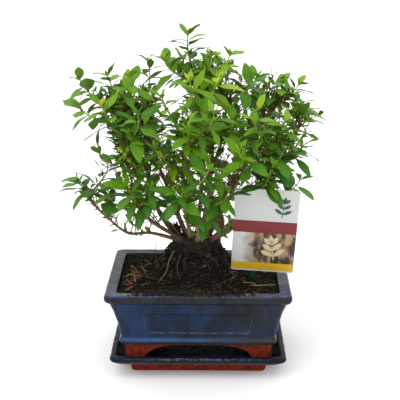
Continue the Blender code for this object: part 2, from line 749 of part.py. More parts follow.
def main():
    clear_scene()
    make_saucer()
    pot = make_pot()
    soil = make_soil()
    label = make_label()
    plans, stems = plan_shoots([object_tree(obj) for obj in (pot, soil, *label)])
    wood = make_wood(plans)
    placed = [object_tree(obj) for obj in (pot, soil, wood, *label)]
    for number, (_, leafy) in enumerate(plans):
        others = placed + stems[:number] + stems[number + 1:]
        nodes, pairs, trees = choose_leaves(number, leafy, others)
        shoot = make_object(f"shoot_{number + 1:02d}", *shoot_mesh(nodes, pairs), "leaf")
        face_out(shoot)
        placed += trees


main()
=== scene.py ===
"""Looks of the serissa bonsai in its glazed pot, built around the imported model.

Sizes are in millimetres, and meshes are made in metres. The origin is the centre of the saucer's
flat underside, +Z is up, -Y is the front and +X is to the right.
"""
import math
import random

import bmesh
import bpy
from mathutils import Matrix, Vector, noise
from mathutils.bvhtree import BVHTree


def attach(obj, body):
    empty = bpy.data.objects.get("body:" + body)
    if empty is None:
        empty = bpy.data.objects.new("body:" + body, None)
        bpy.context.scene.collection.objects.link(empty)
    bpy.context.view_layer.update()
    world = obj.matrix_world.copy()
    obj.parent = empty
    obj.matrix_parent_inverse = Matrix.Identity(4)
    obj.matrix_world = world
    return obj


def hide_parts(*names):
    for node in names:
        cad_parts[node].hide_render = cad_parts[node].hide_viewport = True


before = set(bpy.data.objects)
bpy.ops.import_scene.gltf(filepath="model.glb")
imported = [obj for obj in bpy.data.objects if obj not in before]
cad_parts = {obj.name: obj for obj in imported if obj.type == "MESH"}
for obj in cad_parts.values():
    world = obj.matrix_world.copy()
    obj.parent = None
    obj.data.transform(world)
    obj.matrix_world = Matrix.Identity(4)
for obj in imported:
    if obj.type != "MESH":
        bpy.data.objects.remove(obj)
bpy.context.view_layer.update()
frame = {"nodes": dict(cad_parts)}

MM = 0.001
SEED = 27  # the same as the solids have, so that every leaf lies where its solid is

# Camera, from the photograph: place, fall and turn of the view, and focal length in pixels
CAMERA_PLACE = (10.5, -754.0, 369.5)
CAMERA_FALL = math.radians(16.81)
CAMERA_TURN = math.radians(0.72)
FOCAL_PIXELS, FRAME_PIXELS = 924.9, 400
SENSOR = 36.0

# Pot: half widths along X and Y, corner radius and height of each ring, outside then inside
RIM_TOP = 76.6
FOOT_BOTTOM = 12.4
POT_OUTSIDE = [
    (61.0, 41.0, 3, FOOT_BOTTOM), (62.5, 42.5, 3, 27.6), (65.5, 45.5, 4, 28.2), (66.8, 46.8, 4, 31.8),
    (65.0, 45.0, 4, 34.2), (67.2, 47.2, 4, 47.5), (70.4, 50.4, 4, 60.0), (73.4, 53.4, 4, 68.0),
    (76.6, 56.6, 5, 70.0), (77.5, 57.5, 5, 72.6), (77.1, 57.1, 5, 75.6), (76.0, 56.0, 5, RIM_TOP),
]
POT_INSIDE = [(68.6, 48.6, 4, RIM_TOP), (67.4, 47.4, 4, 75.4), (65.5, 45.5, 4, 60.0), (60.0, 40.5, 4, 31.5)]
POT_GLAZE_FOOT = 27.9
FOOT_ARCH_TOP = 26.0
FRONT_ARCH = (16.0, 30.0)
SIDE_ARCH = (10.0, 18.0)
PANEL_FOOT, PANEL_TOP = 38.6, 58.2
PANEL_FRONT = (42.6, 46.4)
PANEL_SIDE = (25.0, 28.0)
PANEL_DEPTH = 1.3
PANEL_BEVEL = 1.6
FILLET = 1.3  # how far a glazed edge is rounded along the walls beside it

SAUCER_FLOOR = 12.0
SAUCER_GLAZE_FOOT = 7.7
SAUCER = [
    (57.3, 36.5, 4, 0.0), (58.6, 37.8, 4, 7.4), (61.2, 41.2, 4, 8.4), (68.5, 49.7, 4, 12.0),
    (73.4, 54.6, 4, 16.0), (74.2, 55.4, 4, 18.4), (73.4, 54.6, 4, 19.9), (69.4, 50.6, 3, 19.9),
    (68.2, 49.4, 3, 19.0), (63.0, 44.2, 3, SAUCER_FLOOR),
]

SOIL_SIDES = [(59.4, 39.9, 3, 31.9), (65.0, 45.0, 3, 60.0), (66.5, 46.5, 3, 73.0)]
SOIL_EDGE = 74.0
MOUND_HEIGHT = 27.0
MOUND_CENTRE = (1.0, 4.0)
MOUND_SPREAD = (31.0, 26.0)

STUMP_CENTRE = (-3.0, 3.0)
STUMP_HALF = (20.5, 14.5)
STUMP_RINGS = [(0.92, 86.0), (1.0, 101.0), (0.93, 105.0), (0.72, 108.5), (0.4, 111.0)]

# Woody limbs, as in the solids: radius at the foot and at the tip, then points to follow
LIMBS = {
    "stub": (5.2, 4.4, [(-17, 1, 102), (-20, 0, 112), (-20, 0, 118)]),
    "low_left": (1.5, 0.8, [(-14, -4, 106), (-40, -12, 116), (-60, -17, 118), (-79, -22, 136),
                            (-92, -24, 151)]),
    "mid_left": (1.7, 0.8, [(-12, -4, 106), (-40, -20, 130), (-50, -30, 150), (-55, -36, 176),
                            (-58, -38, 194)]),
    "left": (2.3, 0.9, [(-15, 3, 104), (-33, -2, 130), (-41, -5, 156), (-44, -6, 186), (-46, -6, 216)]),
    "upper_left": (1.3, 0.8, [(-42, -5, 170), (-56, -6, 196), (-70, -4, 218)]),
    "front_left": (1.9, 0.8, [(-2, -4, 104), (0, -22, 120), (-4, -36, 138), (-13, -46, 156)]),
    "front_centre": (2.1, 0.8, [(-6, -2, 104), (-9, -17, 126), (-12, -28, 150), (-12, -37, 178),
                                (-9, -43, 204)]),
    "centre": (2.5, 0.9, [(1, 2, 106), (8, -3, 140), (10, -7, 172), (9, -6, 204), (2, -2, 232),
                          (-6, 0, 252)]),
    "top": (1.3, 0.8, [(10, -7, 168), (20, -4, 198), (23, 2, 230)]),
    "right_front": (1.7, 0.8, [(8, -2, 104), (26, -14, 124), (42, -27, 146), (54, -37, 170), (58, -40, 192)]),
    "right": (2.3, 0.8, [(11, 2, 104), (32, -6, 122), (48, -14, 140), (60, -19, 163), (74, -19, 186),
                         (81, -13, 208)]),
    "right_up": (1.9, 0.8, [(6, 6, 104), (26, 11, 140), (42, 13, 174), (53, 9, 204), (61, 2, 222)]),
    "back_left": (1.9, 0.8, [(-10, 8, 104), (-24, 24, 136), (-38, 37, 168), (-48, 43, 200)]),
    "back": (2.0, 0.8, [(-2, 8, 106), (2, 28, 142), (5, 44, 178), (3, 48, 212)]),
    "back_right": (1.8, 0.8, [(4, 9, 104), (24, 27, 140), (42, 40, 170), (53, 42, 197)]),
}
LIMB_STEPS = 2

SHOOT_TIPS = [
    (-9, 0, 280), (10, -22, 266), (25, 6, 263), (-28, -6, 262), (-43, 14, 258),
    (-54, -26, 250), (-75, 6, 246), (-97, -2, 244), (-97, -18, 227), (-76, -40, 230), (-46, -57, 226),
    (-60, -34, 190), (-55, -52, 168), (-77, -8, 176), (-99, -24, 165), (-74, -27, 157),
    (46, -22, 250), (67, -4, 246), (82, 6, 239), (86, -14, 221), (70, -42, 217), (45, -60, 230),
    (84, -20, 194), (67, -52, 198), (83, -24, 166), (56, -46, 174),
    (-6, -48, 251), (15, -45, 253), (12, -70, 230), (-8, -66, 218), (32, -69, 202), (8, -79, 194),
    (-34, -46, 198), (-17, -74, 170), (-36, -54, 169), (12, -46, 148), (24, -58, 166), (28, -30, 216),
    (-28, -38, 236),
    (-72, 36, 208), (-50, 54, 226), (-14, 44, 254), (22, 42, 252), (48, 34, 238), (70, 38, 208),
    (-8, 74, 216), (32, 70, 204), (-42, 66, 186), (4, 76, 176), (54, 58, 170), (-68, 30, 166),
    (-24, 60, 150), (26, 52, 146),
]
TIP_DROP = 26.0
LONGEST_LEAFY = 58.0
SHORTEST_BARE = 9.0
SHOOT_TRIES = 60
TWIG_STEPS = 2
TWIG_RADIUS = (1.1, 0.85)
STEM_RADIUS = (0.85, 0.7)
STEM_GAP = 0.9
STEM_FREE = 1.0

# Leaves, as in the solids
LEAF_PAIRS = 6
FIRST_PAIR, LAST_PAIR = 0.16, 1.0
LEAF_LENGTH = (14.0, 27.0)
TOP_LEAF = 0.62
LEAF_OPENING = (52, 82)
TOP_OPENING = (30, 55)
LEAF_DROOP = (0.12, 0.42)
MOST_ROLL = 0.8
LEAF_WIDTH = 0.41
LEAF_KEEL = 0.9
LEAF_CUP = 0.09
LEAF_OUTLINE = [(0.42, 0.92), (0.76, 0.86)]
FOOT_SIZE = (1.1, 1.2)
LEAF_TRIES = 6
OWN_FOOT = 0.15
CLEARANCE = 0.7
FOOT_CLEARANCE = 0.15

# Finer leaves: stations along a blade, points across it, and its thickness
BLADE_STATIONS = 10
BLADE_ACROSS = 6
SMALL_STATIONS, SMALL_ACROSS = 5, 4
BLADE_THICKNESS = 0.3
BLADE_END, BLADE_CROWDING = 0.985, 0.9  # share of the length at the last station; closer at the tip
BLADE_TWIST, BLADE_WAVE = 0.35, (0.01, 0.035)
PETIOLE = 0.1  # share of the length
LEAF_FOLD = 0.3  # rise of the halves of a blade from its midrib
AXIL_SHARE = 0.5  # share of nodes with small leaves in their axils
AXIL_BELOW = 266  # the highest shoots bear none
AXIL_LEAF, TIP_LEAF = (5.5, 10.5), (5, 8)
YELLOW_LEAVES = {(10, 5, 0)}  # shoot, pair and which of the two has turned yellow
YOUTH = 0.3
YOUTH_RISE = (150, 90, 0.16)  # from this height on, over this many millimetres, by this much
YOUTH_DRAW, LEAF_YOUTH_DRAW = (-0.24, 0.1), 0.2
YOUNGER_TIP, YOUNGER_AXIL, YOUNGER_LEAF = 0.42, 0.15, 0.22

# Fine growth
LEAF_VALUES = ("along", "across", "under", "youth", "withered")
SPROUTING = ("low_left", "upper_left", "mid_left", "front_left", "right_front")
SPROUT_FROM, SPROUT_EVERY, SPROUT_LEAF = 8, 2, (5, 9.5)
TWIGS_A_SHOOT = 6
TWIGS_A_SPAN = 3
BASE_SPROUTS = [  # from the limbs' feet: start, heading and length
    ((-9, -10, 113), (-0.4, -0.6, 0.8), 34), ((-4, -11, 110), (0.2, -0.8, 0.7), 28),
    ((3, -10, 110), (0.5, -0.8, 0.5), 32), ((9, -9, 112), (-0.2, -0.8, 0.8), 26),
    ((13, -8, 113), (0.5, -0.8, 0.6), 34), ((18, -4, 116), (0.6, -0.6, 0.8), 30),
    ((-16, -5, 112), (-0.7, -0.4, 0.9), 40), ((0, -8, 114), (-0.1, -0.5, 1), 40),
    ((15, -4, 120), (0.2, -0.5, 1), 40),
]
SPARSE_LEFT = (-58, 178)  # further left and lower than this the crown is open
CROWN_PARTS = {"left": -50, "middle": 0, "right": 50}  # where each part is centred across
TWIG_LENGTH = (14, 32)
WITHERED_BITS = [  # dead leaves caught in the crown: place, the way they point, length
    ((38, -12, 149), (0.5, -0.4, 0.3), 8), ((37, -12, 138), (-0.3, -0.4, -0.8), 9),
    ((42, -8, 144), (0.4, -0.5, -0.6), 6),
]
LONG_TWIG_LENGTH = (38, 72)
LONG_TWIGS_FROM = (114, 172)  # heights between which the limbs bear long steep twigs
LONG_TWIGS_A_SPAN = 2
RISERS_ON, RISER_FROM, RISER_EVERY = "low_left", 9, 2  # short twigs that stand on the lowest limb
RISER_LENGTH, RISER_LEAF = (9, 25), (4.5, 8)
WANDER, LONG_WANDER = 0.35, 0.16  # how much a twig turns at each of its bends
BARE_BELOW = 168  # twigs that start lower carry leaves near their tips alone
TWIG_LEAF = (5.5, 12.5)
FILLED_FROM = 128  # height from which the limbs carry fine twigs of their own

LABEL_ROOM = (34, 15, 92)  # half width, depth and height kept free of fine twigs round the card
CROWN_BOX = ((-112, -88, 98), (108, 90, 275))
CROWN_MARGIN = 13  # how far inside that box a twig ends

# The clay foot, which widens upwards by a share of its size for each millimetre
FOOT_TOP, FOOT_DRAFT, FOOT_LEVELS = 28.4, 0.0016, 6

# Wood: what is added to a radius at a foot, and how far up that fades
LIMB_FLARE, STUB_FLARE, TWIG_FLARE = (1.5, 7), (0.6, 5), 0.5
OLD_LIMB = 2.5  # limbs at least this thick have no young bark
YOUNG_FROM, YOUNG_RISE = 0.45, 1.6  # share of a limb where its bark starts to be young, and how fast
LIMB_KNOTS, TWIG_KNOTS = (5, 0.18), (4, 0.22)  # points between swollen nodes, and how much they swell
# How dark the limbs' feet are at the stump, and over how many millimetres up they lighten
DARK_AT_FOOT, DARK_REACH = 1.1, 16
STUMP_ANGLES = 72
STUB_SPLINTERS = 16
ROOT_FROM, ROOT_TOP = 12, 102.0  # how far from the stump's middle roots start, and their highest point
ROOT_RADIUS, ROOT_THINNING = 3.0, 2.2
BURLS = [((17, -2, 122), (6, 5.5, 7)), ((-8, -7, 107), (6, 5, 4)), ((4, -6, 106), (5, 4, 4.5))]
ROOTS = [(205, 20), (250, 16), (300, 18), (345, 16), (40, 17), (110, 18), (160, 16)]  # degrees, length

# Litter on the peat
SOIL_GRID = (168, 118)
PEAT_ROOM = (65.5, 45.5, 4)  # half widths and corner radius of what lies on the peat
LITTER_ROOM = (64, 44)
CHIP_ROOM, CHIP_HEAP = (62, 42), ((-55, 5), (-14, 14))
CRUMB_COUNT, FIBRE_COUNT, CHIP_COUNT = 1900, 130, 38
FRONT_HEAP = (2.2, 5.0)  # how high the peat is heaped along the front wall, and how wide
CLOD_COUNT = 750
CLOD_TOP, CLOD_FALL = 105, 30  # height of the heap at the stump, and its fall outwards
SPILLS = [(-46, 6, 90), (-24, 10, 200), (-4, 8, 260), (18, 12, 150)]  # centre, spread, how many
SPILL_START, SPILL_REACH = -46.5, 10.0  # where they leave the front wall, and how far out they lie
STALKS = [
    ([(-21, -9, 99), (-25, -15, 93), (-27, -24, 86), (-33, -30, 79)], 0.6, 0.42),
    ([(-15, -12, 97), (-18, -20, 90), (-17, -28, 83)], 0.35, 0.3),
    ([(44, -31, 76.4), (51, -34, 77.6), (58, -34, 78), (65, -30, 76.8)], 0.42, 1.0),
    ([(38, -24, 76.2), (46, -28, 77.2), (50, -33, 76.2)], 0.35, 0.85),
    ([(-62, -10, 76), (-56, -16, 80), (-53, -25, 76.5)], 0.6, 0.7),
    ([(-60, 8, 76), (-58, 2, 81), (-52, -6, 77)], 0.45, 0.55),
    ([(-38, 20, 78), (-39, 19, 88), (-37, 18, 97)], 0.4, 0.3),
    ([(-30, 24, 78), (-33, 23, 86), (-35, 23, 92)], 0.35, 0.3),
]

# Label and its stake, as in the solids; heights of what is printed on the card
CARD_SIZE = (52.6, 0.8, 83.0)
CARD_FOOT = (53.8, -16.0, 83.4)
CARD_LEAN = math.radians(17.0)
CARD_ROLL = math.radians(2.7)
CARD_TURN = math.radians(-3.8)
STAKE_SIZE = (4.4, 1.4, 96.0)
STAKE_BELOW = 36.0
STAKE_OFFSET = -7.0
YELLOW_STRIP = (1.5, 9.0)
PICTURE_BAND = (9.0, 40.0)
RED_BAND = (40.0, 52.0)
CARD_CORNER, STAKE_CORNER = 1.5, 0.7
STAKE_GAP = 0.4
PRINT_PROUD, PRINT_SUNK, PRINT_MARGIN = 0.05, 0.1, 0.05
SPRIGS = [  # foot, height, lean, pairs of leaves, leaf's size, and which finish
    ((9, 12.5), 16, -0.14, 3, 12, 3), ((13, 56), 14, 0.1, 3, 8.5, 4),
]

# Where the glaze and the light and shade painted on it change, in metres: along X or Y, or up
# Towards the right the glaze turns dull brown: partly its colour, partly painted shade
DULL_AND_SHADED_SIDE = (-0.02, 0.07)
LIP_HEIGHTS = (0.0675, 0.0705)
LEDGE_FROM, LEDGE_TO = (0.0305, 0.0322), (0.0352, 0.0332)
# The first pair is where the painted highlight on the ledge fades, brightest on the left
LEDGE_HIGHLIGHT_ACROSS, LEDGE_BARED = (0.05, -0.02), (0.0, 0.05)
RIM_HEIGHTS, RIM_FRONT = (0.0742, 0.0758), (-0.02, -0.045)
OUT_TO_CORNERS = (0.03, 0.06)
THIN_GLAZE = (3.2, 1.0)  # heights above the bare clay, in millimetres
CLAY_EDGE = (0.3, -0.1)
RAGGED = 0.0007
# How strong the painted highlight on the panel's lower and side bevels is
BEVEL_HIGHLIGHT = 0.62

# Where the left limbs' feet are dark, and where the printed picture pales, in metres
DARK_LIMBS_ACROSS, DARK_LIMBS_HEIGHTS = (-0.008, -0.016), (0.107, 0.115)
PALE_ACROSS = (0.036, 0.048)
SIDE_VEINS, VEIN_SLANT = 8.0, 1.3  # veins along a leaf, and how far they lean to its tip

# Colours, in linear light
GLAZE_DARK = (0.0035, 0.007, 0.018)
GLAZE_BLUE = (0.0075, 0.026, 0.08)
GLAZE_BROWN = (0.017, 0.0165, 0.0145)
# Worn glaze on edges, also used for the painted highlight on the panel's bevels
GLAZE_WEAR_AND_HIGHLIGHT = (0.066, 0.083, 0.108)
RIM_VIOLET = (0.022, 0.036, 0.13)
GLAZE_STREAK = (0.0055, 0.0055, 0.006)
# The painted highlight laid on the ledge's left part
LEDGE_PAINTED_HIGHLIGHT = (0.03, 0.085, 0.2)
GLAZE_THIN = (0.036, 0.026, 0.019)
# Colour of the painted glints, small highlights along edges
GLAZE_GLINT = (0.24, 0.3, 0.38)
GLOSS = (0.22, 0.44)  # roughness of the glaze, from its smoothest to its dullest
SAUCER_DARK = (0.0025, 0.003, 0.006)
SAUCER_BLUE = (0.005, 0.009, 0.028)
SAUCER_WORN = (0.012, 0.017, 0.032)
CLAY_DARK = (0.07, 0.008, 0.004)
CLAY_LIGHT = (0.25, 0.03, 0.012)
PEAT_DARK = (0.004, 0.003, 0.0018)
PEAT_BROWN = (0.010, 0.0078, 0.0038)
PEAT_SPECK = (0.11, 0.08, 0.04)
FIBRE_DARK = (0.05, 0.028, 0.012)
FIBRE_PALE = (0.3, 0.22, 0.11)
CHIP_DARK = (0.06, 0.02, 0.01)
CHIP_LIGHT = (0.17, 0.07, 0.028)
BARK_DARK = (0.075, 0.044, 0.024)
BARK_TAN = (0.46, 0.3, 0.16)
TWIG_DARK = (0.06, 0.025, 0.014)
TWIG_RED = (0.26, 0.12, 0.06)
STUMP_BLACK = (0.005, 0.0035, 0.0025)
STUMP_BROWN = (0.024, 0.015, 0.010)
LEAF_OLD = (0.022, 0.1, 0.014)
LEAF_GREEN = (0.108, 0.262, 0.005)
LEAF_YOUNG = (0.34, 0.46, 0.015)
LEAF_VEIN = (0.13, 0.29, 0.04)
LEAF_UNDER = (0.12, 0.24, 0.04)
LEAF_YELLOW = (0.62, 0.47, 0.02)
LEAF_ORANGE = (0.62, 0.13, 0.02)
STEM_BROWN = (0.10, 0.06, 0.03)
STEM_GREEN = (0.24, 0.31, 0.025)
CARD_COLOUR = (0.56, 0.575, 0.56)
RED_PRINT = (0.18, 0.009, 0.012)
YELLOW_PRINT = (0.64, 0.4, 0.02)
BRONZE_DARK = (0.045, 0.027, 0.013)
SPRIG_PALE = (0.62, 0.5, 0.33)
BRONZE_PRINT = (0.36, 0.235, 0.115)
GREEN_PRINT = (0.02, 0.09, 0.03)
STAKE_COLOUR = (0.01, 0.05, 0.025)

# Studio: floor, even light all round, and a broad soft sun as fall, turn, width and strength
FLOOR_SIZE = 60000.0
FLOOR_COLOUR = (0.97, 0.97, 0.97)
WORLD_COLOUR = (1.0, 1.0, 1.0)
WORLD_LIGHT = 1.2
SUN_FALL, SUN_TURN = math.radians(38), math.radians(-30)
SUN_WIDTH = math.radians(50)
SUN_LIGHT = 0.95



def make_object(name, points, faces, finishes, face_finish=None, angle=50):
    """A smooth mesh from points in millimetres, with one finish or one for each face."""
    mesh = bpy.data.meshes.new(name)
    mesh.from_pydata([(p[0] * MM, p[1] * MM, p[2] * MM) for p in points], [], faces)
    for finish in finishes:
        mesh.materials.append(finish)
    if face_finish:
        mesh.polygons.foreach_set("material_index", face_finish)
    mesh.shade_smooth()
    mesh.set_sharp_from_angle(angle=math.radians(angle))
    obj = bpy.data.objects.new(name, mesh)
    bpy.context.scene.collection.objects.link(obj)
    return obj


def set_attribute(obj, name, values):
    """A number for each point of the mesh, which its material reads by this name."""
    layer = obj.data.attributes.new(name, "FLOAT", "POINT")
    layer.data.foreach_set("value", values)


def dress(obj, slot, *nodes):
    """Puts a finished piece on the one body, in place of these solids."""
    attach(obj, "root")
    if nodes:
        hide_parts(*nodes)


def face_out(obj):
    mesh = bmesh.new()
    mesh.from_mesh(obj.data)
    bmesh.ops.recalc_face_normals(mesh, faces=mesh.faces)
    mesh.to_mesh(obj.data)
    mesh.free()


class Body:
    """Points and faces of many small forms that end up in one mesh, with numbers for each point."""

    def __init__(self, *names):
        self.points = []
        self.faces = []
        self.values = {name: [] for name in names}

    def add(self, points, faces, **values):
        first = len(self.points)
        self.points.extend(points)
        self.faces.extend([first + i for i in face] for face in faces)
        for name, column in self.values.items():
            given = values.get(name, 0.0)
            column.extend(given if isinstance(given, list) else [given] * len(points))

    def make(self, name, finish, angle=50):
        obj = make_object(name, self.points, self.faces, [finish], angle=angle)
        for key, column in self.values.items():
            set_attribute(obj, key, column)
        return obj


# Materials

def node(tree, kind, inputs=None, **settings):
    """A shader node whose inputs are values or the outputs of other nodes."""
    made = tree.nodes.new("ShaderNode" + kind)
    for key, value in settings.items():
        setattr(made, key, value)
    for key, value in (inputs or {}).items():
        if isinstance(value, bpy.types.NodeSocket):
            tree.links.new(value, made.inputs[key])
        else:
            made.inputs[key].default_value = value
    return made


def new_material(name, **numbers):
    made = bpy.data.materials.new(name)
    made.use_nodes = True
    shader = made.node_tree.nodes["Principled BSDF"]
    for key, value in numbers.items():
        shader.inputs[key.replace("_", " ")].default_value = value
    return made, made.node_tree, shader


def spot(tree):
    return node(tree, "TexCoord").outputs["Object"]


def grain(tree, size, detail=3.0, where=None, roughness=0.5):
    """Noise from 0 to 1 whose blotches measure about this many millimetres."""
    inputs = {"Scale": 1 / (size * MM), "Detail": detail, "Roughness": roughness,
              "Vector": where or spot(tree)}
    return node(tree, "TexNoise", inputs).outputs["Fac"]


def number(tree, name):
    return node(tree, "Attribute", attribute_name=name).outputs["Fac"]


def axes(tree, where):
    """The parts of a place along X, Y and Z."""
    return node(tree, "SeparateXYZ", {"Vector": where}).outputs


def math_node(tree, operation, *values, clamp=False):
    inputs = dict(enumerate(values))
    return node(tree, "Math", inputs, operation=operation, use_clamp=clamp).outputs[0]


def times(tree, first, second):
    return math_node(tree, "MULTIPLY", first, second)


def span(tree, value, low, high, out_low=0.0, out_high=1.0):
    """Maps a value from one range to another and clamps it."""
    inputs = {"Value": value, "From Min": low, "From Max": high, "To Min": out_low, "To Max": out_high}
    return node(tree, "MapRange", inputs).outputs["Result"]


def blend(tree, share, first, second):
    """A mix of two colours, each given as numbers or as another node's output."""
    made = node(tree, "Mix", {"Factor": share}, data_type="RGBA")
    for socket, colour in zip([s for s in made.inputs if s.type == "RGBA"], (first, second)):
        if isinstance(colour, bpy.types.NodeSocket):
            tree.links.new(colour, socket)
        else:
            socket.default_value = (*colour, 1.0)
    return next(s for s in made.outputs if s.type == "RGBA")


def bump(tree, shader, height, distance, strength=1.0, under=None):
    inputs = {"Height": height, "Distance": distance * MM, "Strength": strength}
    if under:
        inputs["Normal"] = under
    made = node(tree, "Bump", inputs).outputs["Normal"]
    tree.links.new(made, shader.inputs["Normal"])
    return made


# Rules of growth, the same as the solids follow

def smooth_path(points, steps):
    """A Catmull-Rom curve through the points."""
    ends = [2 * points[0] - points[1]] + points + [2 * points[-1] - points[-2]]
    path = []
    for a, b, c, d in zip(ends, ends[1:], ends[2:], ends[3:]):
        for step in range(steps):
            t = step / steps
            path.append(0.5 * (2 * b + (c - a) * t + (2 * a - 5 * b + 4 * c - d) * t**2
                               + (3 * b - a - 3 * c + d) * t**3))
    return path + [points[-1]]


def tube(path, first, last, sides):
    """Points and faces of a tapered tube along a path, with flat ends."""
    rings = []
    reference = Vector((0.3, 1, 0.1))
    for i, centre in enumerate(path):
        tangent = (path[min(i + 1, len(path) - 1)] - path[max(i - 1, 0)]).normalized()
        side = tangent.cross(reference).normalized()
        other = tangent.cross(side)
        radius = first + (last - first) * i / (len(path) - 1)
        turns = [2 * math.pi * k / sides for k in range(sides)]
        rings.append([centre + radius * (math.cos(a) * side + math.sin(a) * other) for a in turns])
    return loft(rings)


def limb_paths():
    return {name: smooth_path([Vector(p) for p in points], LIMB_STEPS)
            for name, (_, _, points) in LIMBS.items()}


def shoot_starts(tip, paths):
    """Places on the limbs that lie low enough for a shoot to rise from, the nearest one first."""
    found = []
    for name, path in paths.items():
        if name == "stub":
            continue
        for a, b in zip(path[1:], path[2:]):
            for point in (a, a.lerp(b, 0.5)):
                too_high = max(0.0, point.z - (tip.z - TIP_DROP))
                found.append(((tip - point).length + 2.0 * too_high, point, (b - a).normalized()))
    found.sort(key=lambda place: place[0])
    return [place[1:] for place in found]


def shoot_path(tip, start, along, bend, steps=24):
    """A curve that leaves a limb, swings out and turns up to the tip."""
    reach = (tip - start).length
    out = (along * 0.7 + (tip - start).normalized() + bend * 0.5).normalized()
    outward = Vector((tip.x, tip.y, 0)) * 0.006
    rise = (Vector((0, 0, 1)) + outward + bend).normalized()
    a = start + out * reach * 0.35
    b = tip - rise * reach * 0.35
    path = []
    for step in range(steps + 1):
        t = step / steps
        s = 1 - t
        path.append(start * s**3 + a * 3 * s * s * t + b * 3 * s * t * t + tip * t**3)
    return path


def path_lengths(path):
    lengths = [0.0]
    for a, b in zip(path, path[1:]):
        lengths.append(lengths[-1] + (b - a).length)
    return lengths


def point_at(path, lengths, distance):
    """The point and direction at a distance along the path."""
    for i in range(1, len(path)):
        if lengths[i] >= distance or i == len(path) - 1:
            share = (distance - lengths[i - 1]) / (lengths[i] - lengths[i - 1])
            return path[i - 1].lerp(path[i], share), (path[i] - path[i - 1]).normalized()


def section(path, low, high, steps):
    """Evenly spaced points of the path between two distances along it."""
    lengths = path_lengths(path)
    return [point_at(path, lengths, low + (high - low) * i / steps)[0] for i in range(steps + 1)]


def tree_of(points, faces):
    return BVHTree.FromPolygons([tuple(p) for p in points], faces)


def object_tree(obj):
    points = [vertex.co / MM for vertex in obj.data.vertices]
    return tree_of(points, [list(polygon.vertices) for polygon in obj.data.polygons])


def tube_tree(path, first, last, grow):
    return tree_of(*tube(path, first + grow, last + grow, 6))


def meets(tree, others):
    return any(tree.overlap(other) for other in others)


def plan_shoots(fixed):
    """Routes every shoot: its bare foot, which is wood, and its leafy end, clear of the others."""
    paths = limb_paths()
    limbs = [tube_tree(path, *LIMBS[name][:2], 0) for name, path in paths.items()]
    plans, stems, twigs = [], [], []
    for number, tip in enumerate(SHOOT_TIPS):
        tip = Vector(tip)
        starts = shoot_starts(tip, paths)
        draw = random.Random(SEED * 500 + number)
        for attempt in range(SHOOT_TRIES):
            start, along = starts[attempt // 4]
            spread = 0.25 + 0.1 * (attempt % 4)
            bend = Vector((draw.uniform(-spread, spread), draw.uniform(-spread, spread), 0))
            path = shoot_path(tip, start, along, bend)
            total = path_lengths(path)[-1]
            bare = max(SHORTEST_BARE, total - LONGEST_LEAFY)
            foot = section(path, 0, bare, TWIG_STEPS)
            leafy = section(path, bare + STEM_GAP, total, 20)
            stem = tube_tree(section(leafy, STEM_FREE, path_lengths(leafy)[-1], 8), *STEM_RADIUS, CLEARANCE)
            twig = tube_tree(foot, *TWIG_RADIUS, CLEARANCE)
            if not meets(stem, fixed + limbs + stems + twigs) and not meets(twig, fixed + stems):
                break
        else:
            print("shoot", number + 1, "finds no clear way")
        plans.append((foot, leafy))
        stems.append(stem)
        twigs.append(twig)
    return plans, stems


# Leafy shoots

def leaf_nodes(path, spin):
    """Where the pairs stand on a stem: centre, direction and the four ways out of each node."""
    lengths = path_lengths(path)
    side = Vector((math.cos(spin), math.sin(spin), 0))
    nodes = []
    for pair in range(-1, LEAF_PAIRS):
        share = 0.0 if pair < 0 else FIRST_PAIR + (LAST_PAIR - FIRST_PAIR) * pair / (LEAF_PAIRS - 1)
        centre, tangent = point_at(path, lengths, lengths[-1] * share)
        side = (side - tangent * side.dot(tangent)).normalized()
        other = tangent.cross(side)
        nodes.append((centre, tangent, [side, other, -side, -other]))
    return nodes


def choose_leaf(draw, centre, tangent, radial, grown, top):
    """How one leaf lies: where it points, which way its face looks, and its size."""
    radial = Matrix.Rotation(draw.uniform(-0.4, 0.4), 3, tangent) @ radial
    open_angle = math.radians(draw.uniform(*(TOP_OPENING if top else LEAF_OPENING)))
    along = (tangent * math.cos(open_angle) + radial * math.sin(open_angle)).normalized()
    up = (tangent - along * tangent.dot(along)).normalized()
    sky = Vector((0, 0, 1))
    turn = math.atan2(along.dot(up.cross(sky)), up.dot(sky))
    roll = max(-MOST_ROLL, min(MOST_ROLL, 0.8 * turn)) + draw.uniform(-0.2, 0.2)
    length = draw.uniform(*LEAF_LENGTH) * grown
    foot = centre + radial * 0.6 * STEM_RADIUS[0]
    return {"root": centre, "foot": foot, "along": along,
            "under": foot + radial * 0.2 * FOOT_SIZE[1] - tangent * FOOT_SIZE[1],
            "up": Matrix.Rotation(roll, 3, along) @ up, "length": length,
            "half_width": length * LEAF_WIDTH / 2 * draw.uniform(0.78, 1.22),
            "droop": draw.uniform(*LEAF_DROOP)}


def blade(leaf, keel=LEAF_KEEL, grow=0.0):
    """The sections of a leaf, each a right edge, a midrib below it and a left edge, then its tip."""
    side = leaf["along"].cross(leaf["up"]).normalized()
    sections = []
    for share, width in LEAF_OUTLINE:
        fall = leaf["up"] * leaf["droop"] * leaf["length"] * share**2
        centre = leaf["root"] + leaf["along"] * leaf["length"] * share - fall
        across = leaf["half_width"] * width + grow
        rise = leaf["up"] * (LEAF_CUP * across + 0.2 * keel + grow)
        sections.append([centre + side * across + rise, centre - leaf["up"] * (0.8 * keel + grow),
                         centre - side * across + rise])
    reach = leaf["length"] + grow
    return sections, leaf["root"] + leaf["along"] * reach - leaf["up"] * leaf["droop"] * reach


def leaf_foot(leaf):
    """Where a leaf opens from the stem: its right edge, its underside and its left edge."""
    side = leaf["along"].cross(leaf["up"]) * FOOT_SIZE[0] / 2
    return [leaf["foot"] + side, leaf["under"], leaf["foot"] - side]


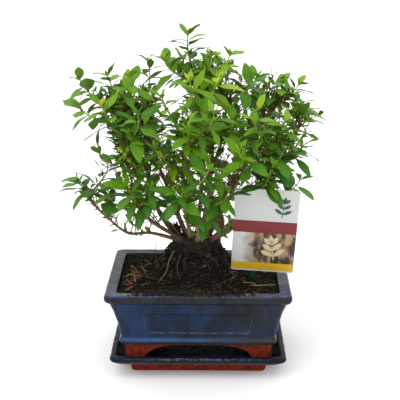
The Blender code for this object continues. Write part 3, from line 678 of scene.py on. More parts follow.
def leaf_tree(leaf, grow, start):
    """A leaf from a share of its length on, grown on all sides, to test against what is near."""
    sections, tip = blade(leaf, grow=grow)
    foot = leaf["root"] + leaf["along"] * leaf["length"] * start
    points = [foot, *sections[0], *sections[1], tip]
    faces = [[0, 1, 2], [0, 2, 3], [0, 3, 1], [7, 4, 5], [7, 5, 6], [7, 6, 4]]
    for i in range(3):
        j = (i + 1) % 3
        faces += [[1 + i, 1 + j, 4 + j], [1 + i, 4 + j, 4 + i]]
    return tree_of(points, faces)


def base_tree(leaf):
    """A leaf as it is from its foot to its first section, to test against its own mates."""
    sections, _ = blade(leaf, grow=FOOT_CLEARANCE)
    points = leaf_foot(leaf) + sections[0]
    faces = [[3, 4, 5]]
    for i in range(3):
        j = (i + 1) % 3
        faces += [[i, j, 3 + j], [i, 3 + j, 3 + i]]
    return tree_of(points, faces)


def choose_leaves(number, path, others):
    """For each pair of a shoot its two leaves, or None where nothing fits."""
    draw = random.Random(SEED * 1000 + number)
    nodes = leaf_nodes(path, draw.uniform(0, 2 * math.pi))
    stem = tube_tree(path, *STEM_RADIUS, 0)
    pairs, mates, feet, wholes = [], [], [], []
    for pair, (centre, tangent, ways) in enumerate(nodes[1:]):
        top = pair == LEAF_PAIRS - 1
        grown = TOP_LEAF if top else 0.84 + 0.16 * math.sin(math.pi * (pair + 1) / LEAF_PAIRS)
        chosen = []
        for half in range(2):
            radial = ways[pair % 2 + 2 * half]
            kept = None
            for attempt in range(LEAF_TRIES):
                draw = random.Random(((SEED * 100 + number) * 20 + pair * 2 + half) * 10 + attempt)
                leaf = choose_leaf(draw, centre, tangent, radial, grown * (1 - 0.06 * attempt), top)
                whole = leaf_tree(leaf, CLEARANCE, 0.03)
                outer = leaf_tree(leaf, CLEARANCE, OWN_FOOT)
                foot = base_tree(leaf)
                if (not meets(whole, others) and not meets(foot, others + feet)
                        and not meets(outer, mates) and not leaf_tree(leaf, 0, OWN_FOOT).overlap(stem)):
                    kept = leaf
                    mates.append(outer)
                    feet.append(foot)
                    wholes += [whole, foot]
                    break
            chosen.append(kept)
        pairs.append(chosen)
    return nodes, pairs, wholes




def pooled_glaze(tree, where, place, mottle, dark, bright, brown):
    """Pooled glaze that dulls to the right, partly its own colour and partly painted shade on the side away
    from the light, and on the lip, with streaks drawn downwards.
    """
    pools = span(tree, grain(tree, 34, 4, where), 0.4, 0.62)
    # Partly glaze colour, partly painted shade on the right, the side away from the light
    side = span(tree, place["X"], *DULL_AND_SHADED_SIDE, 0.1, 0.9)
    lip = span(tree, place["Z"], *LIP_HEIGHTS, 0.0, 0.9)
    dull = math_node(tree, "MAXIMUM", times(tree, side, mottle), lip)
    glaze = blend(tree, dull, blend(tree, pools, dark, bright), brown)
    drawn_down = node(tree, "Mapping", {"Vector": where, "Scale": (1, 1, 0.13)}).outputs[0]
    return blend(tree, span(tree, grain(tree, 8, 4, drawn_down), 0.5, 0.66, 0, 0.7), glaze, GLAZE_STREAK)


def banded_glaze(tree, where, place, mottle, middle, glaze, clay_foot):
    """A painted highlight on the ledge's left part, violet pools on the rim and thin glaze low down."""
    ledge = math_node(tree, "MINIMUM", span(tree, place["Z"], *LEDGE_FROM),
                      span(tree, place["Z"], *LEDGE_TO))
    # A painted highlight along the ledge, brightest on its left
    painted_highlight = times(tree, ledge, span(tree, place["X"], *LEDGE_HIGHLIGHT_ACROSS, 0.1, 0.85))
    glaze = blend(tree, times(tree, painted_highlight, mottle), glaze, LEDGE_PAINTED_HIGHLIGHT)
    front = times(tree, span(tree, place["Y"], *RIM_FRONT),
                  span(tree, middle, *OUT_TO_CORNERS, 0.25, 1.0))
    pooled = times(tree, front, span(tree, grain(tree, 11, 3, where), 0.42, 0.54))
    violet = times(tree, span(tree, place["Z"], *RIM_HEIGHTS, 0.0, 0.85), pooled)
    glaze = blend(tree, violet, glaze, RIM_VIOLET)
    from_clay = [(clay_foot + height) * MM for height in THIN_GLAZE]
    thin = span(tree, place["Z"], *from_clay, 0.0, 0.85)
    bared = times(tree, ledge, span(tree, place["X"], *LEDGE_BARED, 0.0, 0.8))
    return blend(tree, math_node(tree, "MAXIMUM", thin, bared), glaze, GLAZE_THIN)


def wear_and_painted_glints(tree, where, middle, glaze, worn, glint):
    """Speckles all over, worn edges, and painted glints along them: small highlight spots painted into the
    colour.
    """
    speckle = span(tree, grain(tree, 1.3, 3, where, 0.7), 0.6, 0.78)
    glaze = blend(tree, times(tree, speckle, 0.25), glaze, worn)
    edge = number(tree, "edge")
    # Worn edges, and on the pot the painted highlight on the panel's bevels, which the edge value holds
    rubbed_and_lit = math_node(tree, "ADD", edge, span(tree, grain(tree, 5, 4, where), 0, 1, -0.55, 0.4))
    glaze = blend(tree, span(tree, rubbed_and_lit, 0.3, 0.9, 0, 0.7), glaze, worn)
    # Painted glints: small highlight spots along the edges, strongest near the middle across
    bits = times(tree, span(tree, middle, *OUT_TO_CORNERS, *glint),
                 span(tree, grain(tree, 2, 4, where, 0.75), 0.48, 0.6))
    return blend(tree, times(tree, span(tree, edge, 0.35, 0.75), bits), glaze, GLAZE_GLINT)


def glaze_material(name, dark, bright, brown, worn, shine, clay_foot, glint):
    """Mottled glaze, thin and worn on its edges, with a painted highlight on the ledge and the panel's bevels
    and painted glints along edges, over clay that is bare below a height.
    """
    made, tree, shader = new_material(name, Specular_IOR_Level=shine)
    where = spot(tree)
    place = axes(tree, where)
    middle = math_node(tree, "ABSOLUTE", place["X"])
    mottle = span(tree, grain(tree, 14, 5, where, 0.65), 0.3, 0.65, 0.35, 1.0)
    glaze = pooled_glaze(tree, where, place, mottle, dark, bright, brown)
    glaze = banded_glaze(tree, where, place, mottle, middle, glaze, clay_foot)
    glaze = wear_and_painted_glints(tree, where, middle, glaze, worn, glint)
    clay = blend(tree, span(tree, grain(tree, 3, 5, where, 0.75), 0.38, 0.62), CLAY_DARK, CLAY_LIGHT)
    unevenly = span(tree, grain(tree, 6, 3, where), 0, 1, -RAGGED, RAGGED)
    ragged = math_node(tree, "ADD", place["Z"], unevenly)
    bare = span(tree, ragged, *[(clay_foot + height) * MM for height in CLAY_EDGE])
    tree.links.new(blend(tree, bare, glaze, clay), shader.inputs["Base Color"])
    rough = span(tree, grain(tree, 6, 4, where), 0.3, 0.75, *GLOSS)
    matt = node(tree, "Mix", {0: bare, 2: rough, 3: 0.85})
    tree.links.new(matt.outputs[0], shader.inputs["Roughness"])
    ripple = bump(tree, shader, grain(tree, 9, 2, where), 0.5, 0.5)
    bump(tree, shader, grain(tree, 0.8, 4, where), 0.12, 0.6, ripple)
    return made


def peat_material():
    made, tree, shader = new_material("peat", Roughness=0.95, Specular_IOR_Level=0.15)
    where = spot(tree)
    clod = blend(tree, span(tree, grain(tree, 5, 5, where, 0.7), 0.35, 0.7), PEAT_DARK, PEAT_BROWN)
    specks = span(tree, grain(tree, 0.7, 3, where, 0.8), 0.66, 0.76)
    peat = blend(tree, times(tree, specks, 0.8), clod, PEAT_SPECK)
    tree.links.new(peat, shader.inputs["Base Color"])
    bump(tree, shader, grain(tree, 1.2, 5, where, 0.8), 0.9, 0.9)
    return made


def litter_material(name, dark, light):
    """Loose bits on the peat, whose own tone runs from dark to light."""
    made, tree, shader = new_material(name, Roughness=0.85, Specular_IOR_Level=0.25)
    unevenly = span(tree, grain(tree, 0.6, 3), 0, 1, -0.25, 0.25)
    tone = math_node(tree, "ADD", number(tree, "tone"), unevenly, clamp=True)
    tree.links.new(blend(tree, tone, dark, light), shader.inputs["Base Color"])
    bump(tree, shader, grain(tree, 0.5, 3), 0.15, 0.7)
    return made


def bark_material():
    """Bark that is tan on old limbs, red-brown on young twigs and near black at the stump."""
    made, tree, shader = new_material("bark", Roughness=0.82, Specular_IOR_Level=0.3)
    where = spot(tree)
    stretched = node(tree, "Mapping", {"Vector": where, "Scale": (1, 1, 0.25)}).outputs[0]
    streaks = span(tree, grain(tree, 1.1, 5, stretched, 0.75), 0.34, 0.66)
    old = blend(tree, streaks, BARK_DARK, BARK_TAN)
    place = axes(tree, where)
    aged = times(tree, span(tree, place["X"], *DARK_LIMBS_ACROSS, 0, 0.75),
                 span(tree, place["Z"], *DARK_LIMBS_HEIGHTS))
    old = blend(tree, aged, old, BARK_DARK)
    young = blend(tree, streaks, TWIG_DARK, TWIG_RED)
    wood = blend(tree, number(tree, "young"), old, young)
    # Near black at the stump, its stub, roots and burls, and fading up from the limbs' feet
    soot = blend(tree, streaks, STUMP_BLACK, STUMP_BROWN)
    wood = blend(tree, number(tree, "soot"), wood, soot)
    tree.links.new(wood, shader.inputs["Base Color"])
    flakes = bump(tree, shader, grain(tree, 0.7, 4, stretched, 0.7), 0.5, 0.8)
    bump(tree, shader, grain(tree, 2.5, 3, stretched), 0.8, 0.6, flakes)
    return made


def leaf_material():
    """A leaf coloured by its age, with a pale midrib, fine side veins and a paler underside."""
    made, tree, shader = new_material("leaf", Roughness=0.4, Specular_IOR_Level=0.17)
    where = spot(tree)
    across = math_node(tree, "ABSOLUTE", number(tree, "across"))
    along = number(tree, "along")
    unevenly = span(tree, grain(tree, 5, 3, where), 0, 1, -0.12, 0.12)
    age = math_node(tree, "ADD", number(tree, "youth"), unevenly, clamp=True)
    old = blend(tree, span(tree, age, 0, 0.5), LEAF_OLD, LEAF_GREEN)
    green = blend(tree, span(tree, age, 0.5, 1), old, LEAF_YOUNG)
    wave = math_node(tree, "SUBTRACT", times(tree, along, SIDE_VEINS), times(tree, across, VEIN_SLANT))
    vein = math_node(tree, "PINGPONG", wave, 0.5)
    side_vein = span(tree, vein, 0.1, 0.0, 0, 0.16)
    midrib = span(tree, across, 0.11, 0.03, 0, 0.45)
    pale = math_node(tree, "MAXIMUM", side_vein, midrib)
    green = blend(tree, pale, green, LEAF_VEIN)
    green = blend(tree, times(tree, number(tree, "under"), 0.45), green, LEAF_UNDER)
    green = blend(tree, span(tree, number(tree, "withered"), 0, 0.5), green, LEAF_YELLOW)
    green = blend(tree, span(tree, number(tree, "withered"), 0.5, 1), green, LEAF_ORANGE)
    tree.links.new(green, shader.inputs["Base Color"])
    bump(tree, shader, math_node(tree, "SUBTRACT", 1.0, pale), 0.18, 0.7)
    return made


def picture_material():
    """A soft bronze-coloured print that pales to one side, as an unfocused photograph would."""
    made, tree, shader = new_material("bronze_picture", Roughness=0.4)
    where = spot(tree)
    slanted = {"Vector": where, "Scale": (1, 1, 0.4), "Rotation": (0, 0.9, 0)}
    streaks = span(tree, grain(tree, 5.5, 2, node(tree, "Mapping", slanted).outputs[0]), 0.42, 0.58)
    bronze = blend(tree, streaks, BRONZE_DARK, BRONZE_PRINT)
    pale = math_node(tree, "ADD", span(tree, axes(tree, where)["X"], *PALE_ACROSS, 1.0, 0.0),
                     span(tree, grain(tree, 8, 2, where), 0, 1, -0.45, 0.45), clamp=True)
    tree.links.new(blend(tree, pale, bronze, CARD_COLOUR), shader.inputs["Base Color"])
    return made


def stem_material():
    made, tree, shader = new_material("green_stem", Roughness=0.5)
    colour = blend(tree, number(tree, "youth"), STEM_BROWN, STEM_GREEN)
    colour = blend(tree, span(tree, grain(tree, 1.5, 3), 0.5, 0.8, 0, 0.5), colour, STEM_BROWN)
    tree.links.new(colour, shader.inputs["Base Color"])
    return made


def plain_material(name, colour, roughness, mottle=0.12, size=2.0):
    """One even colour with a faint grain."""
    made, tree, shader = new_material(name, Roughness=roughness)
    darker = tuple(c * (1 - mottle) for c in colour)
    tree.links.new(blend(tree, grain(tree, size, 3), darker, colour), shader.inputs["Base Color"])
    bump(tree, shader, grain(tree, size / 4, 2), 0.03, 0.4)
    return made


# Pot and saucer

def rounded_ring(half_x, half_y, radius, height, long, short, corner):
    """A rounded rectangle, anticlockwise from above, with points along its walls and corners."""
    ring = []
    signs = [(1, 1), (-1, 1), (-1, -1), (1, -1)]
    for turn, (sign_x, sign_y) in enumerate(signs):
        next_x, next_y = signs[(turn + 1) % 4]
        centre = Vector((sign_x * (half_x - radius), sign_y * (half_y - radius), height))
        ahead = Vector((next_x * (half_x - radius), next_y * (half_y - radius), height))
        outs = []
        for step in range(corner + 1):
            angle = math.radians(90 * (turn + step / corner))
            outs.append(radius * Vector((math.cos(angle), math.sin(angle), 0)))
        ring += [centre + out for out in outs]
        count = short if turn % 2 else long
        ring += [(centre + outs[-1]).lerp(ahead + outs[-1], step / count) for step in range(1, count)]
    return ring


def filleted(profile, size, steps=4):
    """The profile with each of its inner corners rounded by a short curve."""
    points = [Vector(point) for point in profile]
    rounded = [points[0]]
    for before, corner, after in zip(points, points[1:], points[2:]):
        low = corner.lerp(before, min(0.45, size / (before - corner).length))
        high = corner.lerp(after, min(0.45, size / (after - corner).length))
        for step in range(steps + 1):
            t = step / steps
            rounded.append(low.lerp(corner, t).lerp(corner.lerp(high, t), t))
    return rounded + [points[-1]]


def stepped(profile, longest):
    """The profile with points added, so that no step is higher than this."""
    fine = [profile[0]]
    for a, b in zip(profile, profile[1:]):
        count = max(1, math.ceil(abs(b[3] - a[3]) / longest))
        fine += [a.lerp(b, i / count) for i in range(1, count + 1)]
    return fine


def loft(rings):
    """Points and faces through rings of equal length, closed by a face at each end."""
    count = len(rings[0])
    points = [point for ring in rings for point in ring]
    faces = [list(range(count))[::-1]]
    for low in range(0, len(points) - count, count):
        for i in range(count):
            j = (i + 1) % count
            faces.append([low + i, low + j, low + count + j, low + count + i])
    faces.append([len(points) - count + i for i in range(count)])
    return points, faces


def worn_edges(profile, reach=2):
    """For each point of a profile how far it stands out as an edge, from 0 to 1."""
    worn = []
    for i, here in enumerate(profile):
        back = profile[max(0, i - reach)] - here
        ahead = profile[min(len(profile) - 1, i + reach)] - here
        turn = back[3] * ahead[0] - back[0] * ahead[3]
        sizes = math.hypot(back[0], back[3]) * math.hypot(ahead[0], ahead[3])
        worn.append(max(0.0, min(1.0, turn / sizes * 1.6)) if sizes else 0.0)
    return worn


def panel_share(point, half_x, half_y):
    """How far inside a sunk panel's outline a point of the wall lies: 0 outside, 1 past its bevel."""
    rise = (point.z - PANEL_FOOT) / (PANEL_TOP - PANEL_FOOT)
    if not 0 < rise < 1:
        return 0.0
    front = abs(point.y) > half_y - 0.01
    if not front and abs(point.x) < half_x - 0.01:
        return 0.0
    foot, top = PANEL_FRONT if front else PANEL_SIDE
    beside = foot + (top - foot) * rise - abs(point.x if front else point.y)
    inside = min(beside, point.z - PANEL_FOOT, PANEL_TOP - point.z)
    return max(0.0, min(1.0, inside / PANEL_BEVEL))


def sunk(point, half_x, half_y):
    """The wall's point moved in where a panel is."""
    share = panel_share(point, half_x, half_y)
    depth = PANEL_DEPTH * share * share * (3 - 2 * share)
    if abs(point.y) > half_y - 0.01:
        return point - Vector((0, math.copysign(depth, point.y), 0))
    return point - Vector((math.copysign(depth, point.x), 0, 0))


def bevel_highlight(point, moved):
    """A painted highlight on a panel's lower and side bevels, which face the light, and none on the one along
    its top, so that it stays dark.
    """
    depth = (point - moved).length / PANEL_DEPTH
    return BEVEL_HIGHLIGHT if 0.03 < depth < 0.8 and point.z < PANEL_TOP - PANEL_BEVEL else 0.0


def uneven(points, amount, size):
    """Moves points a little, as thick glaze and hand work do."""
    return [point + amount * noise.noise_vector(point / size) for point in points]


def inside_walls(x, y, half_x, half_y, radius):
    """Moves a point of a rectangle's corner in to the rounded corner."""
    over_x = abs(x) - (half_x - radius)
    over_y = abs(y) - (half_y - radius)
    reach = math.hypot(over_x, over_y)
    if over_x <= 0 or over_y <= 0 or reach <= radius:
        return x, y
    return (math.copysign(half_x - radius + over_x * radius / reach, x),
            math.copysign(half_y - radius + over_y * radius / reach, y))


def grid_faces(columns, rows):
    """The faces of a grid of points, seen from above."""
    starts = [row * (columns + 1) + column for row in range(rows) for column in range(columns)]
    return [[low, low + 1, low + columns + 2, low + columns + 1] for low in starts]


def grid_rim(columns, rows):
    """The points round a grid, anticlockwise from above."""
    rim = list(range(columns)) + [row * (columns + 1) + columns for row in range(rows)]
    rim += [rows * (columns + 1) + column for column in range(columns, 0, -1)]
    return rim + [row * (columns + 1) for row in range(rows, 0, -1)]


def arch_stations(flat, shoulder, half, steps=14):
    """Places across the foot, closer together where its arch is steep."""
    curve = [flat + shoulder * math.cos(math.pi / 2 * step / steps) for step in range(steps + 1)]
    side = [half + (curve[0] - half) * step / 5 for step in range(5)] + curve + [flat / 2]
    return [-place for place in side] + [0.0] + side[::-1]


def arch_height(place, flat, shoulder):
    """How high the foot's underside is at a place across it."""
    over = min(1.0, max(0.0, (abs(place) - flat) / shoulder))
    return FOOT_BOTTOM + (FOOT_ARCH_TOP - FOOT_BOTTOM) * math.sqrt(1 - over * over)


def clay_foot():
    """The pot's unglazed foot, a block with two arches right through it, as points and faces."""
    half_x, half_y, radius, _ = POT_OUTSIDE[0]
    across, deep = arch_stations(*FRONT_ARCH, half_x), arch_stations(*SIDE_ARCH, half_y)
    plan = [inside_walls(x, y, half_x, half_y, radius) for y in deep for x in across]
    under = [max(arch_height(x, *FRONT_ARCH), arch_height(y, *SIDE_ARCH)) for y in deep for x in across]
    rim = grid_rim(len(across) - 1, len(deep) - 1)
    points = [Vector((x, y, z)) for (x, y), z in zip(plan, under)]
    faces = [face[::-1] for face in grid_faces(len(across) - 1, len(deep) - 1)]
    low = rim
    for level in range(1, FOOT_LEVELS + 1):
        share = level / FOOT_LEVELS
        high = list(range(len(points), len(points) + len(rim)))
        for i in rim:
            z = under[i] + (FOOT_TOP - under[i]) * share
            grown = 1 + FOOT_DRAFT * (z - FOOT_BOTTOM)
            points.append(Vector((plan[i][0] * grown, plan[i][1] * grown, z)))
        for i in range(len(rim)):
            j = (i + 1) % len(rim)
            faces.append([low[i], low[j], high[j], high[i]])
        low = high
    faces.append(low)
    return uneven(points, 0.25, 9), faces


def make_pot(finish):
    outside = stepped(filleted(POT_OUTSIDE[1:], FILLET), 0.9)
    profile = outside + stepped(filleted(POT_INSIDE, FILLET), 4.0)[1:]
    rings, edges = [], []
    for level, (ring, edge) in enumerate(zip(profile, worn_edges(profile))):
        points = rounded_ring(*ring, 130, 95, 7)
        if level < len(outside):
            sunken = [sunk(point, ring[0], ring[1]) for point in points]
            # The edge value holds the real edge wear and a painted highlight on the panel's bevels
            edges += [0.5 * edge + bevel_highlight(point, moved) for point, moved in zip(points, sunken)]
            points = sunken
        else:
            edges += [0.5 * edge] * len(points)
        rings.append(uneven(points, 0.35, 16))
    body = Body("edge")
    body.add(*loft(rings), edge=edges)
    body.add(*clay_foot())
    pot = body.make("glazed_pot", finish, 35)
    dress(pot, "pot", "pot")


def make_saucer(finish):
    profile = stepped(filleted(SAUCER, FILLET), 1.2)
    rings, edges = [], []
    for ring, edge in zip(profile, worn_edges(profile)):
        points = uneven(rounded_ring(*ring, 60, 45, 7), 0.3, 14)
        if ring[3] < 0.5:
            points = [Vector((p.x, p.y, max(0.0, p.z) if ring[3] else 0.0)) for p in points]
        edges += [edge] * len(points)
        rings.append(points)
    body = Body("edge")
    body.add(*loft(rings), edge=edges)
    saucer = body.make("glazed_saucer", finish, 35)
    dress(saucer, "saucer", "saucer")


# Soil and what lies on it

def soil_height(x, y):
    """The peat's surface, as in the solid: level near the walls, with a mound at the trunk."""
    across = (x - MOUND_CENTRE[0]) / MOUND_SPREAD[0]
    along = (y - MOUND_CENTRE[1]) / MOUND_SPREAD[1]
    mound = MOUND_HEIGHT * math.exp(-((across * across + along * along) ** 1.3))
    uneven_part = 1.1 * math.sin(0.21 * x + 1.3) * math.cos(0.27 * y - 0.4)
    return SOIL_EDGE + mound + uneven_part


def crumbled(x, y):
    """The peat's surface with its clods and crumbs."""
    clods = noise.noise(Vector((x / 9, y / 9, 3.0))) * 1.6
    crumbs = noise.noise(Vector((x / 2.6, y / 2.6, 9.0))) * 1.1
    bits = noise.noise(Vector((x / 0.9, y / 0.9, 5.0))) * 0.45
    heap = FRONT_HEAP[0] * math.exp(-(((y + SOIL_SIDES[-1][1]) / FRONT_HEAP[1]) ** 2))
    return soil_height(x, y) + heap * (1 - (x / 75) ** 2) + clods + crumbs + bits


def make_soil(finish):
    half_x, half_y, radius, _ = SOIL_SIDES[-1]
    columns, rows = SOIL_GRID
    points = []
    for row in range(rows + 1):
        for column in range(columns + 1):
            x, y = inside_walls(half_x * (2 * column / columns - 1), half_y * (2 * row / rows - 1),
                                half_x, half_y, radius)
            points.append(Vector((x, y, crumbled(x, y))))
    faces = grid_faces(columns, rows)
    rim = grid_rim(columns, rows)
    first = len(points)
    foot_x, foot_y, _, foot = SOIL_SIDES[0]
    points += [Vector((points[i].x * foot_x / half_x, points[i].y * foot_y / half_y, foot)) for i in rim]
    for i in range(len(rim)):
        j = (i + 1) % len(rim)
        faces.append([rim[j], rim[i], first + i, first + j])
    faces.append([first + i for i in range(len(rim))][::-1])
    soil = make_object("peat_soil", points, faces, [finish], angle=80)
    dress(soil, "soil", "soil")


def pebble(draw, centre, size, flat=1.0):
    """A small uneven lump of twelve points."""
    golden = (1 + math.sqrt(5)) / 2
    corners = [Vector(c).normalized() for a in (-1, 1) for b in (-golden, golden)
               for c in ((0, a, b), (a, b, 0), (b, 0, a))]
    turn = Matrix.Rotation(draw.uniform(0, 6.28), 3, Vector((draw.random(), draw.random(), 1)))
    shape = Vector((1, draw.uniform(0.6, 0.9), draw.uniform(0.5, 0.8) * flat))
    return [centre + (turn @ (corner * size * draw.uniform(0.75, 1.15))) * shape for corner in corners]


def hull_faces(points):
    """The faces of the convex hull of a few points."""
    mesh = bmesh.new()
    for point in points:
        mesh.verts.new(point)
    mesh.verts.index_update()
    bmesh.ops.convex_hull(mesh, input=mesh.verts)
    faces = [[vertex.index for vertex in face.verts] for face in mesh.faces]
    mesh.free()
    return faces


def on_soil(draw):
    """A place on the open peat, clear of the stump."""
    while True:
        x, y = (draw.uniform(-room, room) for room in LITTER_ROOM)
        if math.hypot((x - STUMP_CENTRE[0]) / STUMP_HALF[0], (y - STUMP_CENTRE[1]) / STUMP_HALF[1]) > 1:
            return x, y


def make_crumbs(finish):
    """Peat crumbs on the soil and a few that fell over the rim."""
    draw = random.Random(SEED + 1)
    body = Body("tone")
    faces = hull_faces(pebble(random.Random(1), Vector(), 1.0))
    for _ in range(CRUMB_COUNT):
        x, y = on_soil(draw)
        size = 0.45 + 1.3 * draw.random() ** 3
        body.add(pebble(draw, Vector((x, y, crumbled(x, y) + 0.2 * size)), size), faces,
                 tone=0.9 * draw.random() ** 4)
    for x, spread, count in SPILLS:
        for _ in range(count):
            out = SPILL_REACH * draw.random() ** 1.7
            height = RIM_TOP + 0.4 + 0.2 * max(0, 3 - out)
            place = Vector((draw.gauss(x, spread), SPILL_START - out, height))
            size = draw.uniform(0.5, 1.7)
            body.add(pebble(draw, place, size, 0.7), faces, tone=0.4 * draw.random() ** 3)
    crumbs = body.make("peat_crumbs", finish, 80)
    dress(crumbs, "soil")


def make_clods(finish):
    """Lumps of old root ball heaped round the stump."""
    draw = random.Random(SEED + 8)
    body = Body("tone")
    faces = hull_faces(pebble(random.Random(1), Vector(), 1.0))
    for _ in range(CLOD_COUNT):
        angle, out = draw.uniform(0, 2 * math.pi), 0.92 + 0.75 * draw.random() ** 1.6
        x = STUMP_CENTRE[0] + STUMP_HALF[0] * out * math.cos(angle)
        y = STUMP_CENTRE[1] + STUMP_HALF[1] * out * math.sin(angle)
        top = CLOD_TOP - CLOD_FALL * (out - 0.92)
        z = max(crumbled(x, y), draw.uniform(soil_height(x, y) - 1, top))
        clod = pebble(draw, Vector((x, y, z)), draw.uniform(0.8, 2.8))
        body.add(clod, faces, tone=0.3 * draw.random() ** 3)
    clods = body.make("root_ball_clods", finish, 80)
    dress(clods, "soil")


def within(place, room):
    return max(-room, min(room, place))


def thread(body, path, radius, sides=3, **values):
    """A thin tapered tube along a short path."""
    body.add(*tube(path, radius, radius * 0.6, sides), **values)


def make_fibres(finish):
    """Pale root hairs and dry stalks that lie across the peat."""
    draw = random.Random(SEED + 2)
    body = Body("tone")
    for _ in range(FIBRE_COUNT):
        x, y = on_soil(draw)
        heading = draw.uniform(0, 2 * math.pi)
        length = draw.uniform(4, 15)
        bend = draw.uniform(-1.2, 1.2)
        path = []
        for _ in range(6):
            x_here, y_here = inside_walls(x, y, *PEAT_ROOM)
            path.append(Vector((x_here, y_here, crumbled(x_here, y_here) + draw.uniform(0.1, 0.9))))
            heading += bend / 5
            x = within(x + length / 5 * math.cos(heading), PEAT_ROOM[0])
            y = within(y + length / 5 * math.sin(heading), PEAT_ROOM[1])
        if min((b - a).length for a, b in zip(path, path[1:])) > 0.3:
            thread(body, path, draw.uniform(0.1, 0.26), tone=draw.random() ** 2.4)
    for points, radius, tone in STALKS:
        path = smooth_path([Vector(point) for point in points], 5)
        thread(body, path, radius, 6, tone=tone)
    fibres = body.make("root_fibres", finish, 80)
    dress(fibres, "soil")


def make_chips(finish):
    """Flakes of pine bark, most of them in the front left corner."""
    draw = random.Random(SEED + 3)
    body = Body("tone")
    for number in range(CHIP_COUNT):
        x, y = [draw.gauss(*heap) for heap in CHIP_HEAP] if number % 4 else on_soil(draw)
        x, y = within(x, CHIP_ROOM[0]), within(y, CHIP_ROOM[1])
        length, width = draw.uniform(4, 12), draw.uniform(1.0, 2.6)
        turn = Matrix.Rotation(draw.uniform(0, math.pi), 3, "Z")
        turn = turn @ Matrix.Rotation(draw.uniform(-0.5, 0.5), 3, "Y")
        centre = Vector((x, y, crumbled(x, y) + 0.6))
        ends = []
        for along in (-1, -0.5, 0, 0.5, 1):
            half = width / 2 * (1.15 - 0.75 * abs(along)) * draw.uniform(0.75, 1.2)
            bow = 0.5 * along * along
            ring = [(along * length / 2, -half, bow - 0.25), (along * length / 2, half, bow - 0.25),
                    (along * length / 2, half * 0.8, bow + 0.3), (along * length / 2, -half * 0.8, bow + 0.3)]
            ends.append([centre + turn @ Vector(corner) for corner in ring])
        body.add(*loft(ends), tone=draw.random())
    chips = body.make("bark_chips", finish, 40)
    face_out(chips)
    dress(chips, "soil")


# Label

def card_frame():
    turn = Matrix.Rotation(CARD_TURN, 4, "Z")
    lean = Matrix.Rotation(CARD_LEAN, 4, "X")
    roll = Matrix.Rotation(CARD_ROLL, 4, "Y")
    return Matrix.Translation(CARD_FOOT) @ turn @ lean @ roll


def rounded_outline(left, right, foot, top, radius, steps=6):
    outline = []
    for corner, (x, z) in enumerate([(right, top), (left, top), (left, foot), (right, foot)]):
        inward = (-1 if x == right else 1, -1 if z == top else 1)
        for step in range(steps + 1):
            angle = math.radians(90 * (corner + step / steps))
            outline.append((x + inward[0] * radius + radius * math.cos(angle),
                            z + inward[1] * radius + radius * math.sin(angle)))
    return outline


def leaf_outline(centre, angle, length, width, steps=7):
    """A pointed leaf's outline on the card."""
    edge = [(i / steps, math.sin(math.pi * i / steps) ** 0.8) for i in range(1, steps)]
    shape = [(0, 0)] + [(t, -w) for t, w in edge] + [(1, 0)] + [(t, w) for t, w in reversed(edge)]
    across = (-math.sin(angle), math.cos(angle))
    return [(centre[0] + t * length * math.cos(angle) + w * width * across[0],
             centre[1] + t * length * math.sin(angle) + w * width * across[1]) for t, w in shape]


def plate(outline, near, far):
    """A thin flat body in the card's own frame, between two depths, as points and faces."""
    place = card_frame()
    points, faces = loft([[place @ Vector((u, d, v)) for u, v in outline] for d in (near, far)])
    return points, [face[::-1] for face in faces]


def sprig(foot, height, lean, leaves, size):
    """Outlines of a stem with pairs of leaves: a plain motif of its own."""
    shapes = []
    for pair in range(leaves):
        share = 0.25 + 0.75 * pair / (leaves - 1)
        centre = (foot[0] + lean * share * height, foot[1] + share * height)
        for side in (-1, 1):
            angle = math.radians(90 - side * (62 - 22 * share)) - lean
            shapes.append(leaf_outline(centre, angle, size * (1.1 - 0.35 * share), size * 0.19))
    tip = (foot[0] + lean * height, foot[1] + height)
    shapes.append(leaf_outline(tip, math.pi / 2 - lean, size * 0.8, size * 0.16))
    stem = [(end[0] + out, end[1]) for end, out in ((foot, -0.45), (foot, 0.45), (tip, 0.25), (tip, -0.25))]
    return shapes + [stem]


def printed(band):
    half = CARD_SIZE[0] / 2 - PRINT_MARGIN
    return rounded_outline(-half, half, *band, PRINT_MARGIN, 1)


def make_label(finishes):
    """A pale card with a red band, a yellow strip and two plain sprigs, on its flat stake."""
    half, height = CARD_SIZE[0] / 2, CARD_SIZE[2]
    points, faces, finish = [], [], []

    def add(outline, near, far, number):
        shape = plate(outline, near, far)
        first = len(points)
        points.extend(shape[0])
        faces.extend([first + i for i in face] for face in shape[1])
        finish.extend([number] * len(shape[1]))

    add(rounded_outline(-half, half, 0, height, CARD_CORNER), 0, CARD_SIZE[1], 0)
    add(printed(RED_BAND), -PRINT_PROUD, PRINT_SUNK, 1)
    add(printed(YELLOW_STRIP), -PRINT_PROUD, PRINT_SUNK, 2)
    add(printed(PICTURE_BAND), -PRINT_PROUD / 2, PRINT_SUNK, 5)
    for *motif, number in SPRIGS:
        for outline in sprig(*motif):
            add(outline, -PRINT_PROUD, PRINT_SUNK, number)
    card = make_object("plant_label", points, faces, finishes[:6], finish, 30)
    dress(card, "card", "label_card")
    back = CARD_SIZE[1] + STAKE_GAP
    bar = rounded_outline(STAKE_OFFSET - STAKE_SIZE[0] / 2, STAKE_OFFSET + STAKE_SIZE[0] / 2,
                          -STAKE_BELOW, STAKE_SIZE[2] - STAKE_BELOW, STAKE_CORNER, 3)
    stake = make_object("label_holder", *plate(bar, back, back + STAKE_SIZE[1]), [finishes[6]], angle=30)
    dress(stake, "stake", "label_stake")


# Wood

